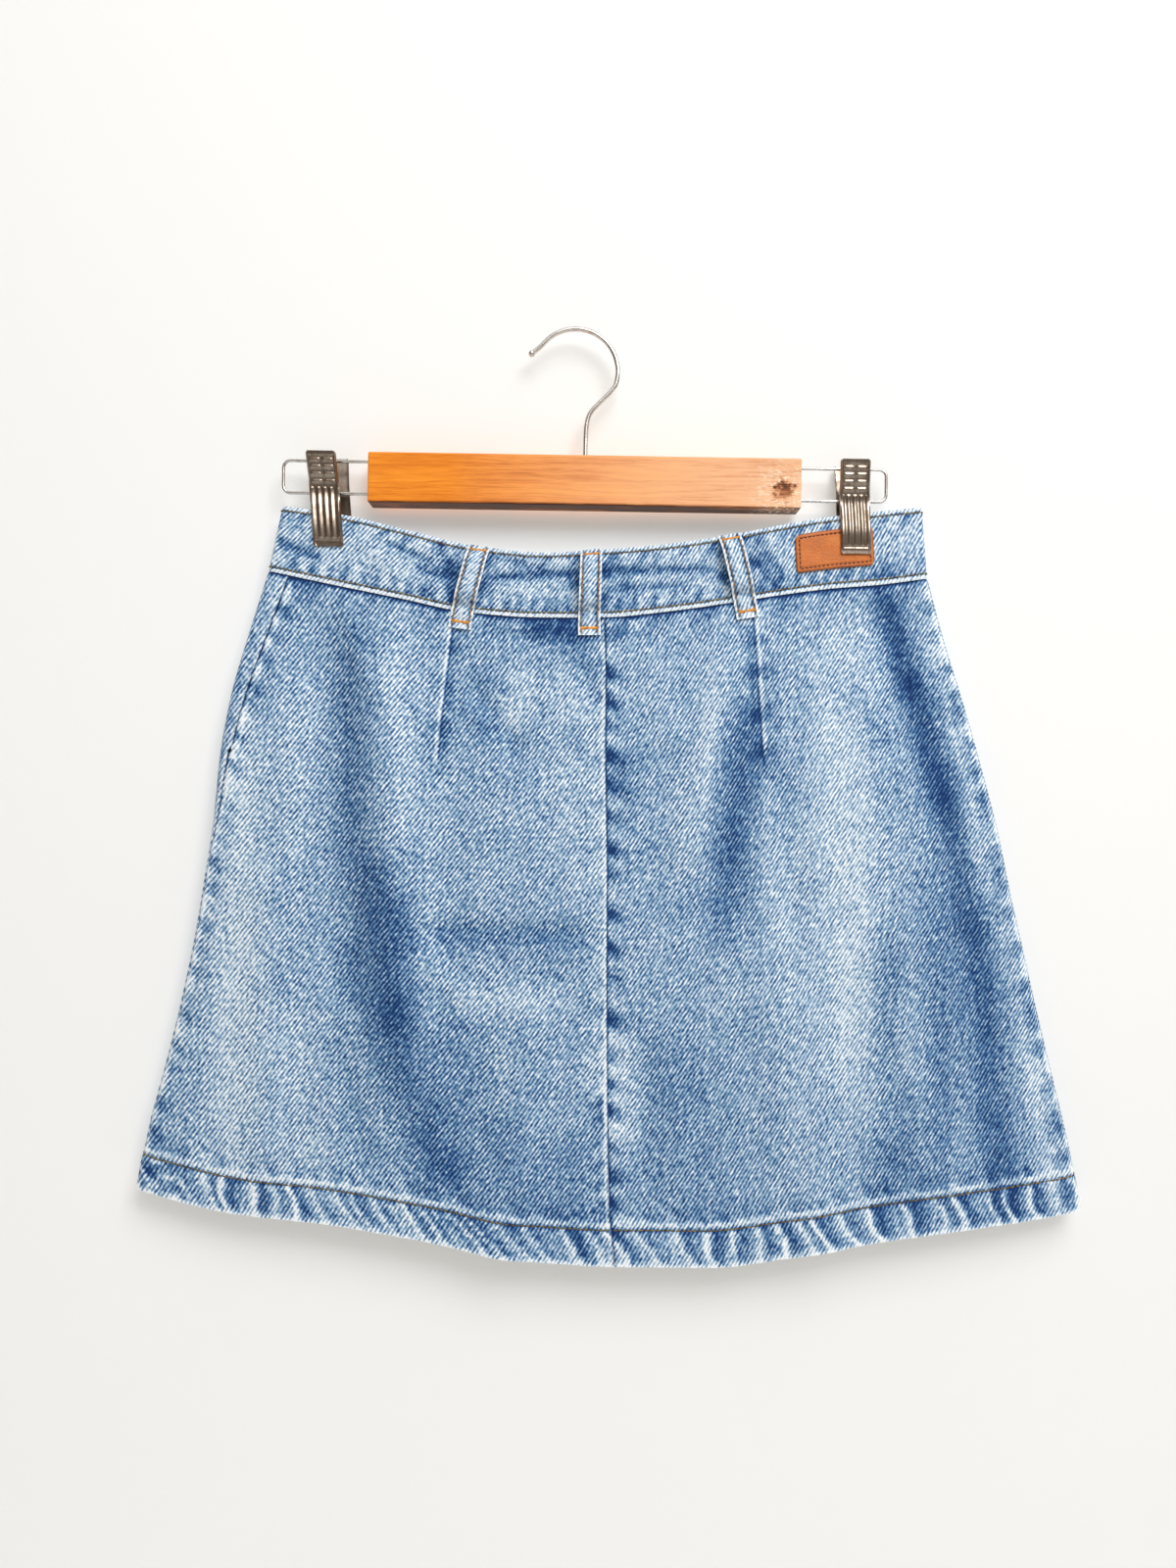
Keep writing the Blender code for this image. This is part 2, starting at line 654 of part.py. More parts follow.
def jaw_face(pivot_x, lean, facing, extra, lift):
    """One face of a pressed-sheet jaw: facing is -1 toward the viewer, 1 behind."""
    up = column(JAW_COLUMNS, JAW_ROWS, "up")
    out = column(JAW_COLUMNS, JAW_ROWS, "out")
    flange = column(JAW_COLUMNS, JAW_ROWS, "flange")

    def place(a, b):
        rise = spread(up[::-1], b)
        aside = np.abs(a - 0.5) * 2.0
        folded = spread(flange[::-1], b) * MM * (aside > 0.99)
        half = JAW_HALF_WIDTH - JAW_SHEET + lift
        width = half * np.where(aside > 0.99, 1.0, aside / 0.5)
        x = pivot_x * MM - rise * MM * lean + width * np.sign(a - 0.5)
        low = ease(-rise / 20.0)
        y = facing * (spread(out[::-1], b) * MM + extra * MM * low + lift - folded)
        return np.stack((x, y, FRAME_LOW + rise * MM), axis=-1)
    return place


def make_clips():
    for name, pivot_x, lean, extra, aside in CLIPS:
        for label, facing, more, x in (("front", -1, extra, pivot_x),
                                       ("back", 1, 0.0, pivot_x + aside)):
            title = name + "_" + label
            outer = jaw_face(x, lean, facing, more, JAW_SHEET)
            inner = jaw_face(x, lean, facing, more, 0.0)
            shell(title, outer, inner, 4, len(JAW_ROWS) - 1,
                  material(title, STEEL, 0.3, 1.0))
        make_spring(name + "_spring", pivot_x)


def make_spring(name, pivot_x):
    bore = FRAME_WIRE + GAP
    half = SPRING_LENGTH / 2
    profile = ((-half, bore), (-half, SPRING_RADIUS), (half, SPRING_RADIUS), (half, bore))
    revolve(name, profile, "x", (pivot_x * MM, 0.0, FRAME_LOW), 20,
            material(name, STEEL, 0.35, 1.0))


def main():
    clear_scene()
    make_panels()
    make_waistband()
    make_loops()
    make_patch()
    make_placket()
    make_button()
    make_hook()
    make_frames()
    make_bar()
    make_clips()


main()
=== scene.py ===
"""Looks of a light-wash denim mini skirt, back side shown, on a wooden clip hanger.

Metres, +Z up. The back of the skirt faces -Y. The origin is the hook's inner crown.
"""
import math

import bmesh
import bpy
import numpy as np
from mathutils import Matrix


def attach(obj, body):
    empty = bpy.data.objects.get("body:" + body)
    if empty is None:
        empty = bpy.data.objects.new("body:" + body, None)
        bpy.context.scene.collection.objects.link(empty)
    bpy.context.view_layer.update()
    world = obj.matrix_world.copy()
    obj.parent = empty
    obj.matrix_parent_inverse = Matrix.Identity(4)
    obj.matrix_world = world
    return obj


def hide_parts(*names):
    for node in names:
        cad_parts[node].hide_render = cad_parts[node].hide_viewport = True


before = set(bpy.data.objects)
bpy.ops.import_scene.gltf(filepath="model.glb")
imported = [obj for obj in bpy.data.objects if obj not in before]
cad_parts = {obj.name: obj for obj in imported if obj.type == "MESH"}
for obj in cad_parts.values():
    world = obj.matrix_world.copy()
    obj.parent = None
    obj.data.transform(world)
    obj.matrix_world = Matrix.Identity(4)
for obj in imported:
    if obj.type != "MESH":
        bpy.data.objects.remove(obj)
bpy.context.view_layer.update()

MM = 0.001
GAP = 0.3 * MM
CLOTH = 1.2 * MM
HEM_CLOTH = 2.4 * MM
THINNEST = 0.3 * MM
HEM_HEIGHT = 20.0 * MM
PANEL_LENGTH = 350.0 * MM
BAND_CLOTH = 2.6 * MM
BAND_EDGE = 3.2 * MM
BAND_BULGE = 3.2 * MM
BAND_TOP_LEFT_IN = 7.3 * MM
BAND_TOP_RIGHT_IN = 3.5 * MM
BAND_HEIGHT = 38.0 * MM
TURN_ASPECT = 1.3
FRONT_WAIST_DROP = 7.0 * MM
FRONT_HEM_RISE = 3.0 * MM
NORMAL_STEP = 1.0e-4
SIDES = (("left", -1), ("right", 1))

# The outline at shares of the skirt's length: x of the left edge, centre seam and right
# edge, half depth of the side's edge, depth of the back and of the front, in mm.
SECTION_COLUMNS = ("down", "left_x", "seam_x", "right_x", "edge", "back", "front")
SECTIONS = (
    (0.0, -170.5, 19.7, 201.5, 2.5, 5.7, 5.7),
    (0.1, -181.0, 21.0, 211.5, 3.0, 7.4, 6.2),
    (0.2, -190.5, 21.3, 223.0, 3.6, 9.0, 6.8),
    (0.3, -196.3, 22.3, 233.5, 4.2, 10.4, 7.2),
    (0.4, -199.2, 23.3, 243.2, 4.7, 11.6, 7.6),
    (0.5, -203.7, 23.7, 251.0, 5.1, 12.6, 7.9),
    (0.6, -209.0, 24.3, 259.5, 5.4, 13.4, 8.2),
    (0.7, -215.8, 25.0, 268.0, 5.6, 14.0, 8.4),
    (0.8, -223.8, 25.8, 277.0, 5.8, 14.4, 8.5),
    (0.9, -232.5, 27.0, 286.0, 5.9, 14.7, 8.6),
    (1.0, -238.5, 30.5, 293.0, 6.0, 15.0, 8.7),
)

# Heights of the waist, the band's seam and the hem in mm, and the belly as a share.
LINE_COLUMNS = ("across", "top_z", "seam_z", "hem_z", "belly")
LINES = (
    (-1.00, -101.6, -138.5, -486.5, 0.0),
    (-0.80, -106.5, -146.0, -497.4, 0.0),
    (-0.60, -114.9, -153.3, -502.0, 0.45),
    (-0.40, -123.0, -160.6, -509.8, 0.85),
    (-0.20, -126.2, -162.8, -519.3, 1.0),
    (0.00, -123.9, -162.2, -522.3, 1.0),
    (0.20, -120.2, -158.2, -522.0, 0.95),
    (0.40, -114.2, -152.4, -514.5, 0.7),
    (0.55, -108.3, -147.6, -507.5, 0.3),
    (0.70, -103.2, -143.6, -502.0, 0.0),
    (0.85, -99.8, -141.0, -496.5, 0.0),
    (1.00, -96.8, -137.0, -490.5, 0.0),
)

# Folds and creases in mm: top x and z, low x and z, half width, height outward.
BACK_FOLDS = (
    (-106.0, -180.0, -84.0, -420.0, 17.0, 4.5),
    (-141.0, -165.0, -122.0, -380.0, 16.0, -3.5),
    (-168.0, -300.0, -166.0, -480.0, 14.0, 3.0),
    (174.0, -148.0, 203.0, -240.0, 9.0, -3.0),
    (203.0, -220.0, 243.0, -430.0, 10.0, -3.5),
    (165.0, -185.0, 180.0, -380.0, 24.0, 2.5),
    (90.0, -180.0, 66.0, -300.0, 11.0, 3.0),
    (105.0, -200.0, 88.0, -330.0, 12.0, -2.5),
    (-20.0, -380.0, -36.0, -540.0, 18.0, 3.0),
    (118.0, -360.0, 150.0, -540.0, 18.0, 2.5),
)
BACK_CREASES = (
    (-80.0, -339.0, 13.0, -338.0, 6.0, -1.3),
    (-78.0, -352.0, -54.0, -377.0, 7.0, 1.3),
    (6.0, -188.0, 17.0, -211.0, 4.0, -1.0),
    (-53.0, -203.0, -24.0, -241.0, 6.0, -1.5),
    (-42.0, -172.0, -14.0, -176.0, 3.5, -0.8),
    (-126.0, -160.0, -112.0, -205.0, 6.0, 1.2),
    (44.0, -180.0, 58.0, -235.0, 9.0, 1.1),
    (118.0, -240.0, 128.0, -330.0, 8.0, -1.0),
    (-30.0, -250.0, -44.0, -330.0, 10.0, 1.0),
    (188.0, -380.0, 214.0, -478.0, 9.0, 1.3),
    (-128.0, -395.0, -108.0, -470.0, 9.0, -1.2),
    (44.0, -400.0, 52.0, -500.0, 11.0, -1.1),
)
FRONT_FOLDS = (
    (-90.0, -190.0, -120.0, -500.0, 24.0, -1.5),
    (120.0, -190.0, 160.0, -500.0, 24.0, -1.5),
)
FRONT_CREASES = (
    (-60.0, -200.0, -30.0, -330.0, 10.0, 0.9),
    (60.0, -200.0, 92.0, -300.0, 10.0, -0.9),
    (150.0, -260.0, 190.0, -420.0, 9.0, 0.9),
    (-150.0, -240.0, -160.0, -430.0, 9.0, -0.9),
)
BAND_CREASES = (
    (-176.0, -118.0, -142.0, -130.0, 3.0, -0.8),
    (-86.0, -136.0, -56.0, -142.0, 3.0, -0.8),
    (-48.0, -141.0, 8.0, -137.0, 2.6, -0.9),
    (16.0, -136.0, 80.0, -134.0, 2.4, -0.8),
    (22.0, -146.0, 66.0, -143.0, 2.2, -0.5),
    (-40.0, -130.0, -14.0, -136.0, 2.2, -0.6),
    (104.0, -128.0, 118.0, -146.0, 2.4, -0.7),
    (-104.0, -122.0, -78.0, -132.0, 2.2, -0.6),
    (-74.0, -122.0, -66.0, -146.0, 3.0, -0.6),
    (24.0, -128.0, 34.0, -150.0, 3.0, -0.5),
    (106.0, -120.0, 122.0, -142.0, 3.0, -0.6),
    (-122.0, -118.0, -96.0, -140.0, 4.0, 0.5),
)

LEFT_SEAM_DOWN = (0.0, 0.1, 0.2, 0.28, 0.34, 0.40, 0.46, 1.0)
LEFT_SEAM_TURN = (0.955, 0.968, 0.982, 0.993, 1.08, 1.20, 1.34, 1.40)
RIGHT_SEAM_TURN = 1.40
SEAM_SHARE = 0.7

DART_DOWN = (0.0, 0.25, 1.0)
LEFT_DART_TURN = (0.451, 0.445, 0.445)
RIGHT_DART_TURN = (0.463, 0.4355, 0.4355)
DART_TIP = 0.255

# Heights in mm of the worn spots beside the centre-back seam.
CENTRE_SPOTS = (-192, -209, -222, -239, -255, -273, -291, -305, -327, -346, -362, -385,
                -404, -421, -436, -455, -472, -487, -503)
# Faded and dark areas of the back, partly the cloth's own fade and partly painted shade on fold
# slopes and creases with painted light on their crests: top x and z, low x and z, half width in
# mm, tone.
WASH_AND_FOLD_SHADE = (
    (-123.0, -165.0, -120.0, -290.0, 11.0, -0.19),
    (-112.0, -295.0, -92.0, -390.0, 14.0, -0.31),
    (-98.0, -380.0, -64.0, -480.0, 18.0, -0.26),
    (-58.0, -462.0, -56.0, -500.0, 12.0, -0.11),
    (181.0, -335.0, 179.0, -410.0, 9.0, -0.14),
    (-119.0, -345.0, -117.0, -382.0, 9.0, -0.18),
    (-90.0, -318.0, -87.0, -352.0, 8.0, -0.12),
    (-28.0, -192.0, -30.0, -225.0, 9.0, 0.17),
    (148.0, -190.0, 178.0, -232.0, 10.0, -0.13),
    (211.0, -240.0, 214.0, -262.0, 7.0, -0.18),
    (2.0, -222.0, 4.0, -240.0, 8.0, -0.10),
    (-96.0, -175.0, -91.0, -290.0, 10.0, 0.10),
    (-183.0, -225.0, -184.0, -475.0, 17.0, 0.18),
    (-152.0, -195.0, -150.0, -305.0, 10.0, 0.08),
    (-152.0, -380.0, -140.0, -490.0, 18.0, 0.10),
    (-62.0, -378.0, 6.0, -376.0, 9.0, 0.12),
    (-74.0, -344.0, 12.0, -342.0, 8.0, -0.12),
    (2.0, -188.0, 4.0, -320.0, 14.0, 0.10),
    (31.0, -395.0, 35.0, -455.0, 12.0, 0.20),
    (84.0, -190.0, 66.0, -300.0, 9.0, 0.12),
    (105.0, -205.0, 86.0, -340.0, 11.0, -0.22),
    (62.0, -390.0, 78.0, -500.0, 26.0, -0.08),
    (152.0, -165.0, 160.0, -430.0, 19.0, 0.18),
    (180.0, -450.0, 182.0, -490.0, 10.0, -0.14),
    (92.0, -215.0, 92.0, -300.0, 9.0, -0.10),
    (203.0, -160.0, 243.0, -325.0, 5.0, 0.12),
    (247.0, -330.0, 266.0, -430.0, 6.0, 0.10),
    (-60.0, -380.0, -50.0, -430.0, 9.0, -0.12),
    (31.0, -235.0, 31.0, -265.0, 9.0, -0.16),
    (-36.0, -435.0, -20.0, -505.0, 14.0, -0.14),
    (2.0, -450.0, 6.0, -515.0, 12.0, -0.14),
    (-206.0, -330.0, -216.0, -410.0, 8.0, 0.14),
    (-58.0, -194.0, -30.0, -204.0, 4.0, -0.12),
    (-70.0, -208.0, -40.0, -232.0, 4.0, -0.14),
    (126.0, -270.0, 122.0, -350.0, 12.0, 0.08),
    (177.0, -144.0, 192.0, -202.0, 8.0, -0.42),
    (193.0, -195.0, 212.0, -272.0, 9.0, -0.36),
    (212.0, -262.0, 229.0, -338.0, 9.0, -0.24),
    (229.0, -330.0, 247.0, -492.0, 11.0, -0.30),
    (262.0, -400.0, 276.0, -480.0, 8.0, 0.12),
    (187.0, -415.0, 197.0, -500.0, 13.0, -0.12),
    (207.0, -300.0, 214.0, -480.0, 10.0, -0.16),
    (-24.0, -169.0, 30.0, -171.0, 6.0, -0.38),
    (-4.0, -172.0, 22.0, -202.0, 7.0, -0.16),
)

LOOP_CLOTH = 1.5 * MM
LOOP_HALF_WIDTH = 6.2 * MM
LOOP_BOW = 5.2 * MM
LOOP_TAIL = 0.027
LOOP_RECEDE = (0.004, 0.012)
LOOP_ROW_ASIDE = 0.72
# Node, face of the band, and x in mm at the band's top and at its seam.
LOOPS = (
    ("loop_back_left", "back", -53.8, -60.0),
    ("loop_back_centre", "back", 11.4, 11.1),
    ("loop_back_right", "back", 90.0, 98.1),
    ("loop_front_left", "front", -72.0, -76.0),
    ("loop_front_right", "front", 108.0, 113.0),
)
BAND_SEAM_X = 11.2 * MM
BAND_LEFT_HALF = 190.0 * MM
BAND_RIGHT_HALF = 182.0 * MM
BAND_FRONT_HALF = 182.5 * MM

TWILL_PITCH = 1.85 * MM
TWILL_SLANT = 35.3

# Columns and rows of each piece's grid.
BACK_STEPS = (9, 36, 16, 66, 14)
FRONT_STEPS = (16, 10, 60, 8)
BACK_ROWS = 175
FRONT_ROWS = 110
BAND_GRID = (206, 34)
LOOP_GRID = (22, 80)
PLACKET_GRID = (24, 60)
PATCH_GRID = (110, 60)
FRONT_JAW_GRID = (64, 170)
BACK_JAW_GRID = (24, 70)

# Rows of stitches, and their sizes in mm where they differ from the usual ones.
BAND_ROW_IN = 2.6 * MM
BAND_ROW_UP = 2.8 * MM
BAND_ROW_SINK = 0.15 * MM
STITCH_LIFT = 0.20 * MM
LOOP_STITCH = {"pitch": 2.6, "length": 2.7, "width": 1.05, "height": 0.7}
BAR_TACK = {"pitch": 2.0, "length": 2.2, "width": 0.95, "height": 0.8}
PATCH_STITCH = {"pitch": 2.4, "length": 2.0, "width": 0.9}

# Seeds of the uneven spots.
SEAM_SEED = 31
DART_SEED = 41
BACK_SIDE_SEED = 51
FRONT_SIDE_SEED = 61
BACK_HEM_SEED = 71
FRONT_HEM_SEED = 73
BACK_WAIST_SEED = 81
FRONT_WAIST_SEED = 83
FRONT_SEAM_SEED = 91
BAND_SEED = 101
LOOP_SEED = 120

PATCH_CLOTH = 1.2 * MM
PATCH_LEFT = 127.6 * MM
PATCH_RIGHT = 171.8 * MM
PATCH_LOW = 0.27
PATCH_HIGH = 0.81

PLACKET_HALF_WIDTH = 16.0 * MM
PLACKET_DOWN = 0.30
BUTTON_X = 33.0 * MM
BUTTON_RADIUS = 8.5 * MM
BUTTON_THICK = 3.2 * MM

BAR_TOP = -71.8 * MM
BAR_LEFT = -114.0 * MM
BAR_RIGHT = 128.5 * MM
SOCKET_DEPTH = 14.0 * MM
HOOK_WIRE = 1.4 * MM
HOOK_RADIUS = 24.0 * MM
HOOK_CENTRE_X = 1.0 * MM
HOOK_TIP = ((-19.6, -9.6), (-24.4, -13.4))
HOOK_SHANK = ((20.4, -34.6), (14.2, -40.8), (9.6, -45.6), (7.8, -51.5), (7.3, -58.0))
TIP_BALL = 1.95 * MM
FRAME_WIRE = 0.95 * MM
FRAME_LEFT = -163.0 * MM
FRAME_RIGHT = 177.6 * MM
FRAME_TOP = -75.5 * MM
FRAME_LOW = -93.7 * MM
FRAME_CORNER = 4.0 * MM
# Heights of the bar's underside, darkened as painted shade.
BAR_UNDERSIDE_SHADE = (-100.3 * MM, -98.4 * MM)
# Span in x over which the bar's painted sheen grows toward its right end.
BAR_SHEEN_SPAN = (-70.0 * MM, 130.0 * MM)
KNOT_CENTRE = (118.0 * MM, -90.0 * MM)
KNOT_RADII = (8.8 * MM, 7.6 * MM)

SPRING_RADIUS = 3.2 * MM
SPRING_LENGTH = 9.0 * MM
SPRING_WIRE = 0.5 * MM
SPRING_TURNS = 6
JAW_SHEET = 0.9 * MM
JAW_HALF_WIDTH = 8.4 * MM
# A jaw from the side, in mm: height over the lower wire, distance out.
JAW_ROWS = (
    (-30.5, 3.5), (-28.9, 3.5), (-25.9, 4.2), (-17.9, 4.9), (-8.0, 4.4), (-1.0, 3.5),
    (5.0, 4.4), (12.1, 6.4), (20.7, 8.4), (21.7, 8.6),
)
# Name, pivot x, lean, extra opening of the front jaw and the back jaw's shift, in mm.
CLIPS = (("clip_left", -138.7, 0.088, 0.0, 4.2), ("clip_right", 159.2, 0.030, 1.5, -0.6))
THUMB_RIDGES = (17.2, 13.4, 9.6, 5.8)

CAMERA_PLACE = (0.0118, -0.704, -0.2556)
CAMERA_LENS = 28.6
CAMERA_ROLL = 0.9
WALL_Y = 0.0125
WALL_SIZE = 3.0
FLOOR_Z = -0.80
FLOOR_SIZE = 6.0

# Place, aim, size in metres, watts and colour of each lamp.
LAMPS = (
    ("key_softbox", (0.45, -1.30, 0.95), (0.0, 0.0, -0.3), 1.0, 23.0, (1.0, 0.985, 0.96)),
    ("front_softbox", (0.95, -1.9, 1.05), (0.03, 0.0, -0.25), 1.1, 13.0, (1.0, 0.99, 0.98)),
    ("rear_softbox", (-0.5, 1.8, 0.5), (0.0, 0.0, -0.3), 1.6, 42.0, (1.0, 1.0, 1.0)),
)


# ---------------------------------------------------------------- the skirt's form

def column(names, rows, name):
    return np.array([row[names.index(name)] for row in rows], dtype=float)


def curve(at, knots, values):
    """Smooth curve through a table, with no overshoot between its rows."""
    knots = np.asarray(knots, dtype=float)
    values = np.asarray(values, dtype=float)
    span = np.diff(knots)
    slope = np.diff(values) / span
    product = slope[:-1] * slope[1:]
    total = slope[:-1] + slope[1:]
    safe = np.where(np.abs(total) < 1e-9, 1.0, total)
    tangent = np.zeros(len(knots))
    tangent[1:-1] = np.where(product > 0.0, 2.0 * product / safe, 0.0)
    tangent[0] = slope[0]
    tangent[-1] = slope[-1]
    cell = np.clip(np.searchsorted(knots, at) - 1, 0, len(knots) - 2)
    t = (at - knots[cell]) / span[cell]
    rise = (3.0 - 2.0 * t) * t * t
    lift = t * (1.0 - t) ** 2 * tangent[cell] - t * t * (1.0 - t) * tangent[cell + 1]
    return values[cell] * (1.0 - rise) + values[cell + 1] * rise + lift * span[cell]


def section(name, down):
    knots = column(SECTION_COLUMNS, SECTIONS, "down")
    return curve(down, knots, column(SECTION_COLUMNS, SECTIONS, name)) * MM


def line(name, across):
    knots = column(LINE_COLUMNS, LINES, "across")
    scale = 1.0 if name == "belly" else MM
    return curve(across, knots, column(LINE_COLUMNS, LINES, name)) * scale


def ease(value):
    t = np.clip(value, 0.0, 1.0)
    return t * t * (3.0 - 2.0 * t)


def hump(value):
    return np.exp(-value * value)


def fold_height(x, z, folds):
    """Sum of long soft folds at a point of a panel, outward positive."""
    total = np.zeros_like(x)
    for top_x, top_z, low_x, low_z, width, height in folds:
        run = np.array((low_x - top_x, low_z - top_z)) * MM
        length = math.hypot(*run)
        along = ((x - top_x * MM) * run[0] + (z - top_z * MM) * run[1]) / length ** 2
        aside = ((x - top_x * MM) * run[1] - (z - top_z * MM) * run[0]) / length
        ends = ease(along / 0.3 + 0.5) * ease((1.0 - along) / 0.3 + 0.5)
        total = total + height * MM * ends * hump(aside / (width * MM))
    return total


def side_angle(turn):
    """Angle round the side's edge, from the back to the front."""
    return np.clip(turn - 1.0, 0.0, 1.0) * math.pi


def tube_x(side, turn, left, middle, right, edge):
    """X of the tube: turn 0 is centre back, 1 to 2 the side's turn, 3 centre front."""
    outline = np.where(side < 0, left, right)
    inner = outline - side * edge * TURN_ASPECT
    flat = np.where(turn < 1.5, turn, 3.0 - turn)
    straight = middle + (inner - middle) * np.minimum(flat, 1.0)
    x = straight + side * edge * TURN_ASPECT * np.sin(side_angle(turn))
    return x, side * np.abs((x - middle) / (outline - middle))


def tube_y(turn, edge, back_y, front_y):
    """Y of the tube: its back, the round edge of its side, then its front."""
    y = -edge * np.cos(side_angle(turn))
    y = np.where(turn <= 1.0, -back_y, y)
    return np.where(turn >= 2.0, front_y, y)


def panel_point(side, turn, down):
    """Outer face of the skirt's panels."""
    edge = section("edge", down)
    x, across = tube_x(side, turn, section("left_x", down), section("seam_x", down),
                       section("right_x", down), edge)
    front = turn > 1.5
    middle = 1.0 - across * across
    seam_z = line("seam_z", across) - GAP / 2 - np.where(front, FRONT_WAIST_DROP * middle, 0.0)
    hem_z = line("hem_z", across) + np.where(front, FRONT_HEM_RISE * middle, 0.0)
    z = seam_z + (hem_z - seam_z) * down
    low = ease(down / 0.35)
    belly = line("belly", across) * (1.0 - low) + (1.0 - np.abs(across) ** 3) * low
    back_y = edge + (section("back", down) - edge) * belly
    front_y = edge + (section("front", down) - edge) * belly
    still = (1.0 - across ** 8) * ease(down / 0.06)
    back_y = back_y + fold_height(x, z, BACK_FOLDS) * still
    front_y = front_y + fold_height(x, z, FRONT_FOLDS) * still
    return np.stack((x, tube_y(turn, edge, back_y, front_y), z), axis=-1)


def band_point(side, turn, up):
    """Outer face of the waistband: up is 0 at the waist seam and 1 at the top."""
    edge = BAND_EDGE
    still = np.zeros_like(up)
    left = section("left_x", still) + BAND_TOP_LEFT_IN * up
    right = section("right_x", still) - BAND_TOP_RIGHT_IN * up
    x, across = tube_x(side, turn, left, section("seam_x", still), right, edge)
    drop = np.where(turn > 1.5, FRONT_WAIST_DROP * (1.0 - across * across), 0.0)
    seam_z = line("seam_z", across) + GAP / 2 - drop
    top_z = line("top_z", across) - drop
    z = seam_z + (top_z - seam_z) * up
    out = edge + BAND_BULGE * line("belly", across)
    return np.stack((x, tube_y(turn, edge, out, out), z), axis=-1)


def normal(point, side, turn, height):
    """Outward direction of a tube's face, from its slope both ways."""
    step = NORMAL_STEP
    along = point(side, turn + step, height) - point(side, turn - step, height)
    upward = point(side, turn, height + step) - point(side, turn, height - step)
    lean = np.cross(along, upward)
    lean = lean / np.linalg.norm(lean, axis=-1, keepdims=True)
    at_turn = np.abs(turn - 1.5) < 0.5
    outward = np.where(turn > 1.5, 1.0, -1.0)
    facing = np.where(at_turn, lean[..., 0] * side, lean[..., 1] * outward)
    return lean * np.where(facing < 0.0, -1.0, 1.0)[..., None]


def spread(values, at):
    return np.interp(at, np.linspace(0.0, 1.0, len(values)), values)


def side_seam(side, down):
    if side > 0:
        return np.full_like(down, RIGHT_SEAM_TURN)
    return np.interp(down, LEFT_SEAM_DOWN, LEFT_SEAM_TURN)


def half_width(side, down):
    edge = section("edge", down) * TURN_ASPECT
    if side < 0:
        return section("seam_x", down) - section("left_x", down) - edge
    return section("right_x", down) - section("seam_x", down) - edge


def side_arc(down):
    """Length of cloth round the side's edge."""
    return math.pi * section("edge", down) * (1.0 + TURN_ASPECT) / 2.0


def centre_gap(down):
    """Half of the gap at a centre seam, as a share of half the width."""
    return GAP / (section("right_x", down) - section("left_x", down))


def seam_gap(turn, down):
    """Half of the gap at a side seam, as a share of the tube's own measure."""
    return np.where(turn < 1.0, centre_gap(down), GAP * SEAM_SHARE / side_arc(down))


def unrolled(side, turn, down):
    """Distance from the centre seam round the tube, as on the flat cut."""
    flat = half_width(side, down)
    arc = side_arc(down)
    return (np.minimum(turn, 1.0) * flat + np.clip(turn - 1.0, 0.0, 1.0) * arc
            + np.clip(turn - 2.0, 0.0, 1.0) * flat)


# ---------------------------------------------------------------- small reliefs

def uneven(low, high, spacing, seed):
    """Places along a seam at uneven steps, with an uneven strength each."""
    chance = np.random.default_rng(seed)
    count = int((high - low) / spacing * 1.6) + 2
    places = low + np.cumsum(spacing * (0.55 + 0.9 * chance.random(count)))
    keep = places < high
    return places[keep], (0.45 + 0.55 * chance.random(count))[keep]


def bumps(at, places, strengths, width):
    total = np.zeros_like(at)
    for place, strength in zip(places, strengths):
        total = total + strength * hump((at - place) / width)
    return total


class Relief:
    """Sewing and wash: soft moves both faces, height only the outer one. Its darkening holds real
    wear and painted shade; its wash holds the cloth's fade and painted fold shading.
    """

    def __init__(self, size):
        self.soft = np.zeros(size)
        self.height = np.zeros(size)
        self.dark_wear_and_shade = np.zeros(size)
        self.pale = np.zeros(size)
        self.wash = np.zeros(size)

    def add(self, shape, height=0.0, dark_wear_and_shade=0.0, pale=0.0):
        self.height += shape * height * MM
        self.dark_wear_and_shade += shape * dark_wear_and_shade
        self.pale += shape * pale

    def stripe(self, away, at, width, height=0.0, dark_wear_and_shade=0.0, pale=0.0, within=1.0):
        """A soft line along a seam, its distance and half width in mm."""
        self.add(within * hump((away - at * MM) / (width * MM)), height, dark_wear_and_shade, pale)

    def pucker(self, along, away, reach, skew, spots, width, depth, blot):
        """Dents across a seam at its spots, with the worn ridges between them."""
        near = hump(away / reach) * (away >= 0.0)
        dent = np.clip(bumps(along + skew * away, *spots, width), 0.0, 1.2)
        self.height += -depth * MM * near * (dent - 0.3)
        self.dark_wear_and_shade += blot * near * dent
        self.pale += 0.35 * blot * near * np.clip(0.5 - dent, 0.0, 0.5)


def seam_relief(relief, side, down, x, z):
    """The centre-back seam: a rolled edge on its left and dents on its right."""
    away = np.abs(x - section("seam_x", down))
    below = ease((down - 0.80) / 0.04)
    if side < 0:
        relief.stripe(away, 1.3, 1.2, 0.5, pale=0.85)
        relief.stripe(away, 0.0, 0.6, -0.4, 0.5)
        spots = uneven(-0.51, -0.43, 11 * MM, SEAM_SEED)
        relief.pucker(z, away - 2.0 * MM, 7 * MM, 0.5, spots, 3 * MM, 0.4, 1.4)
        spots = uneven(-0.43, -0.17, 19 * MM, SEAM_SEED + 1)
        relief.pucker(z, away - 2.0 * MM, 4 * MM, 0.5, spots, 3 * MM, 0.3, 0.8)
    else:
        relief.stripe(away, 0.0, 0.9, -0.5, 0.75)
        relief.stripe(away, 0.0, 1.6, 0.0, 0.5, within=below)
        places = np.array(CENTRE_SPOTS) * MM
        spots = (places, 0.7 + 0.3 * np.sin(np.arange(len(places)) * 2.4))
        relief.pucker(z, away - 0.2 * MM, 7 * MM, 0.35, spots, 4.2 * MM, 0.7, 2.0)


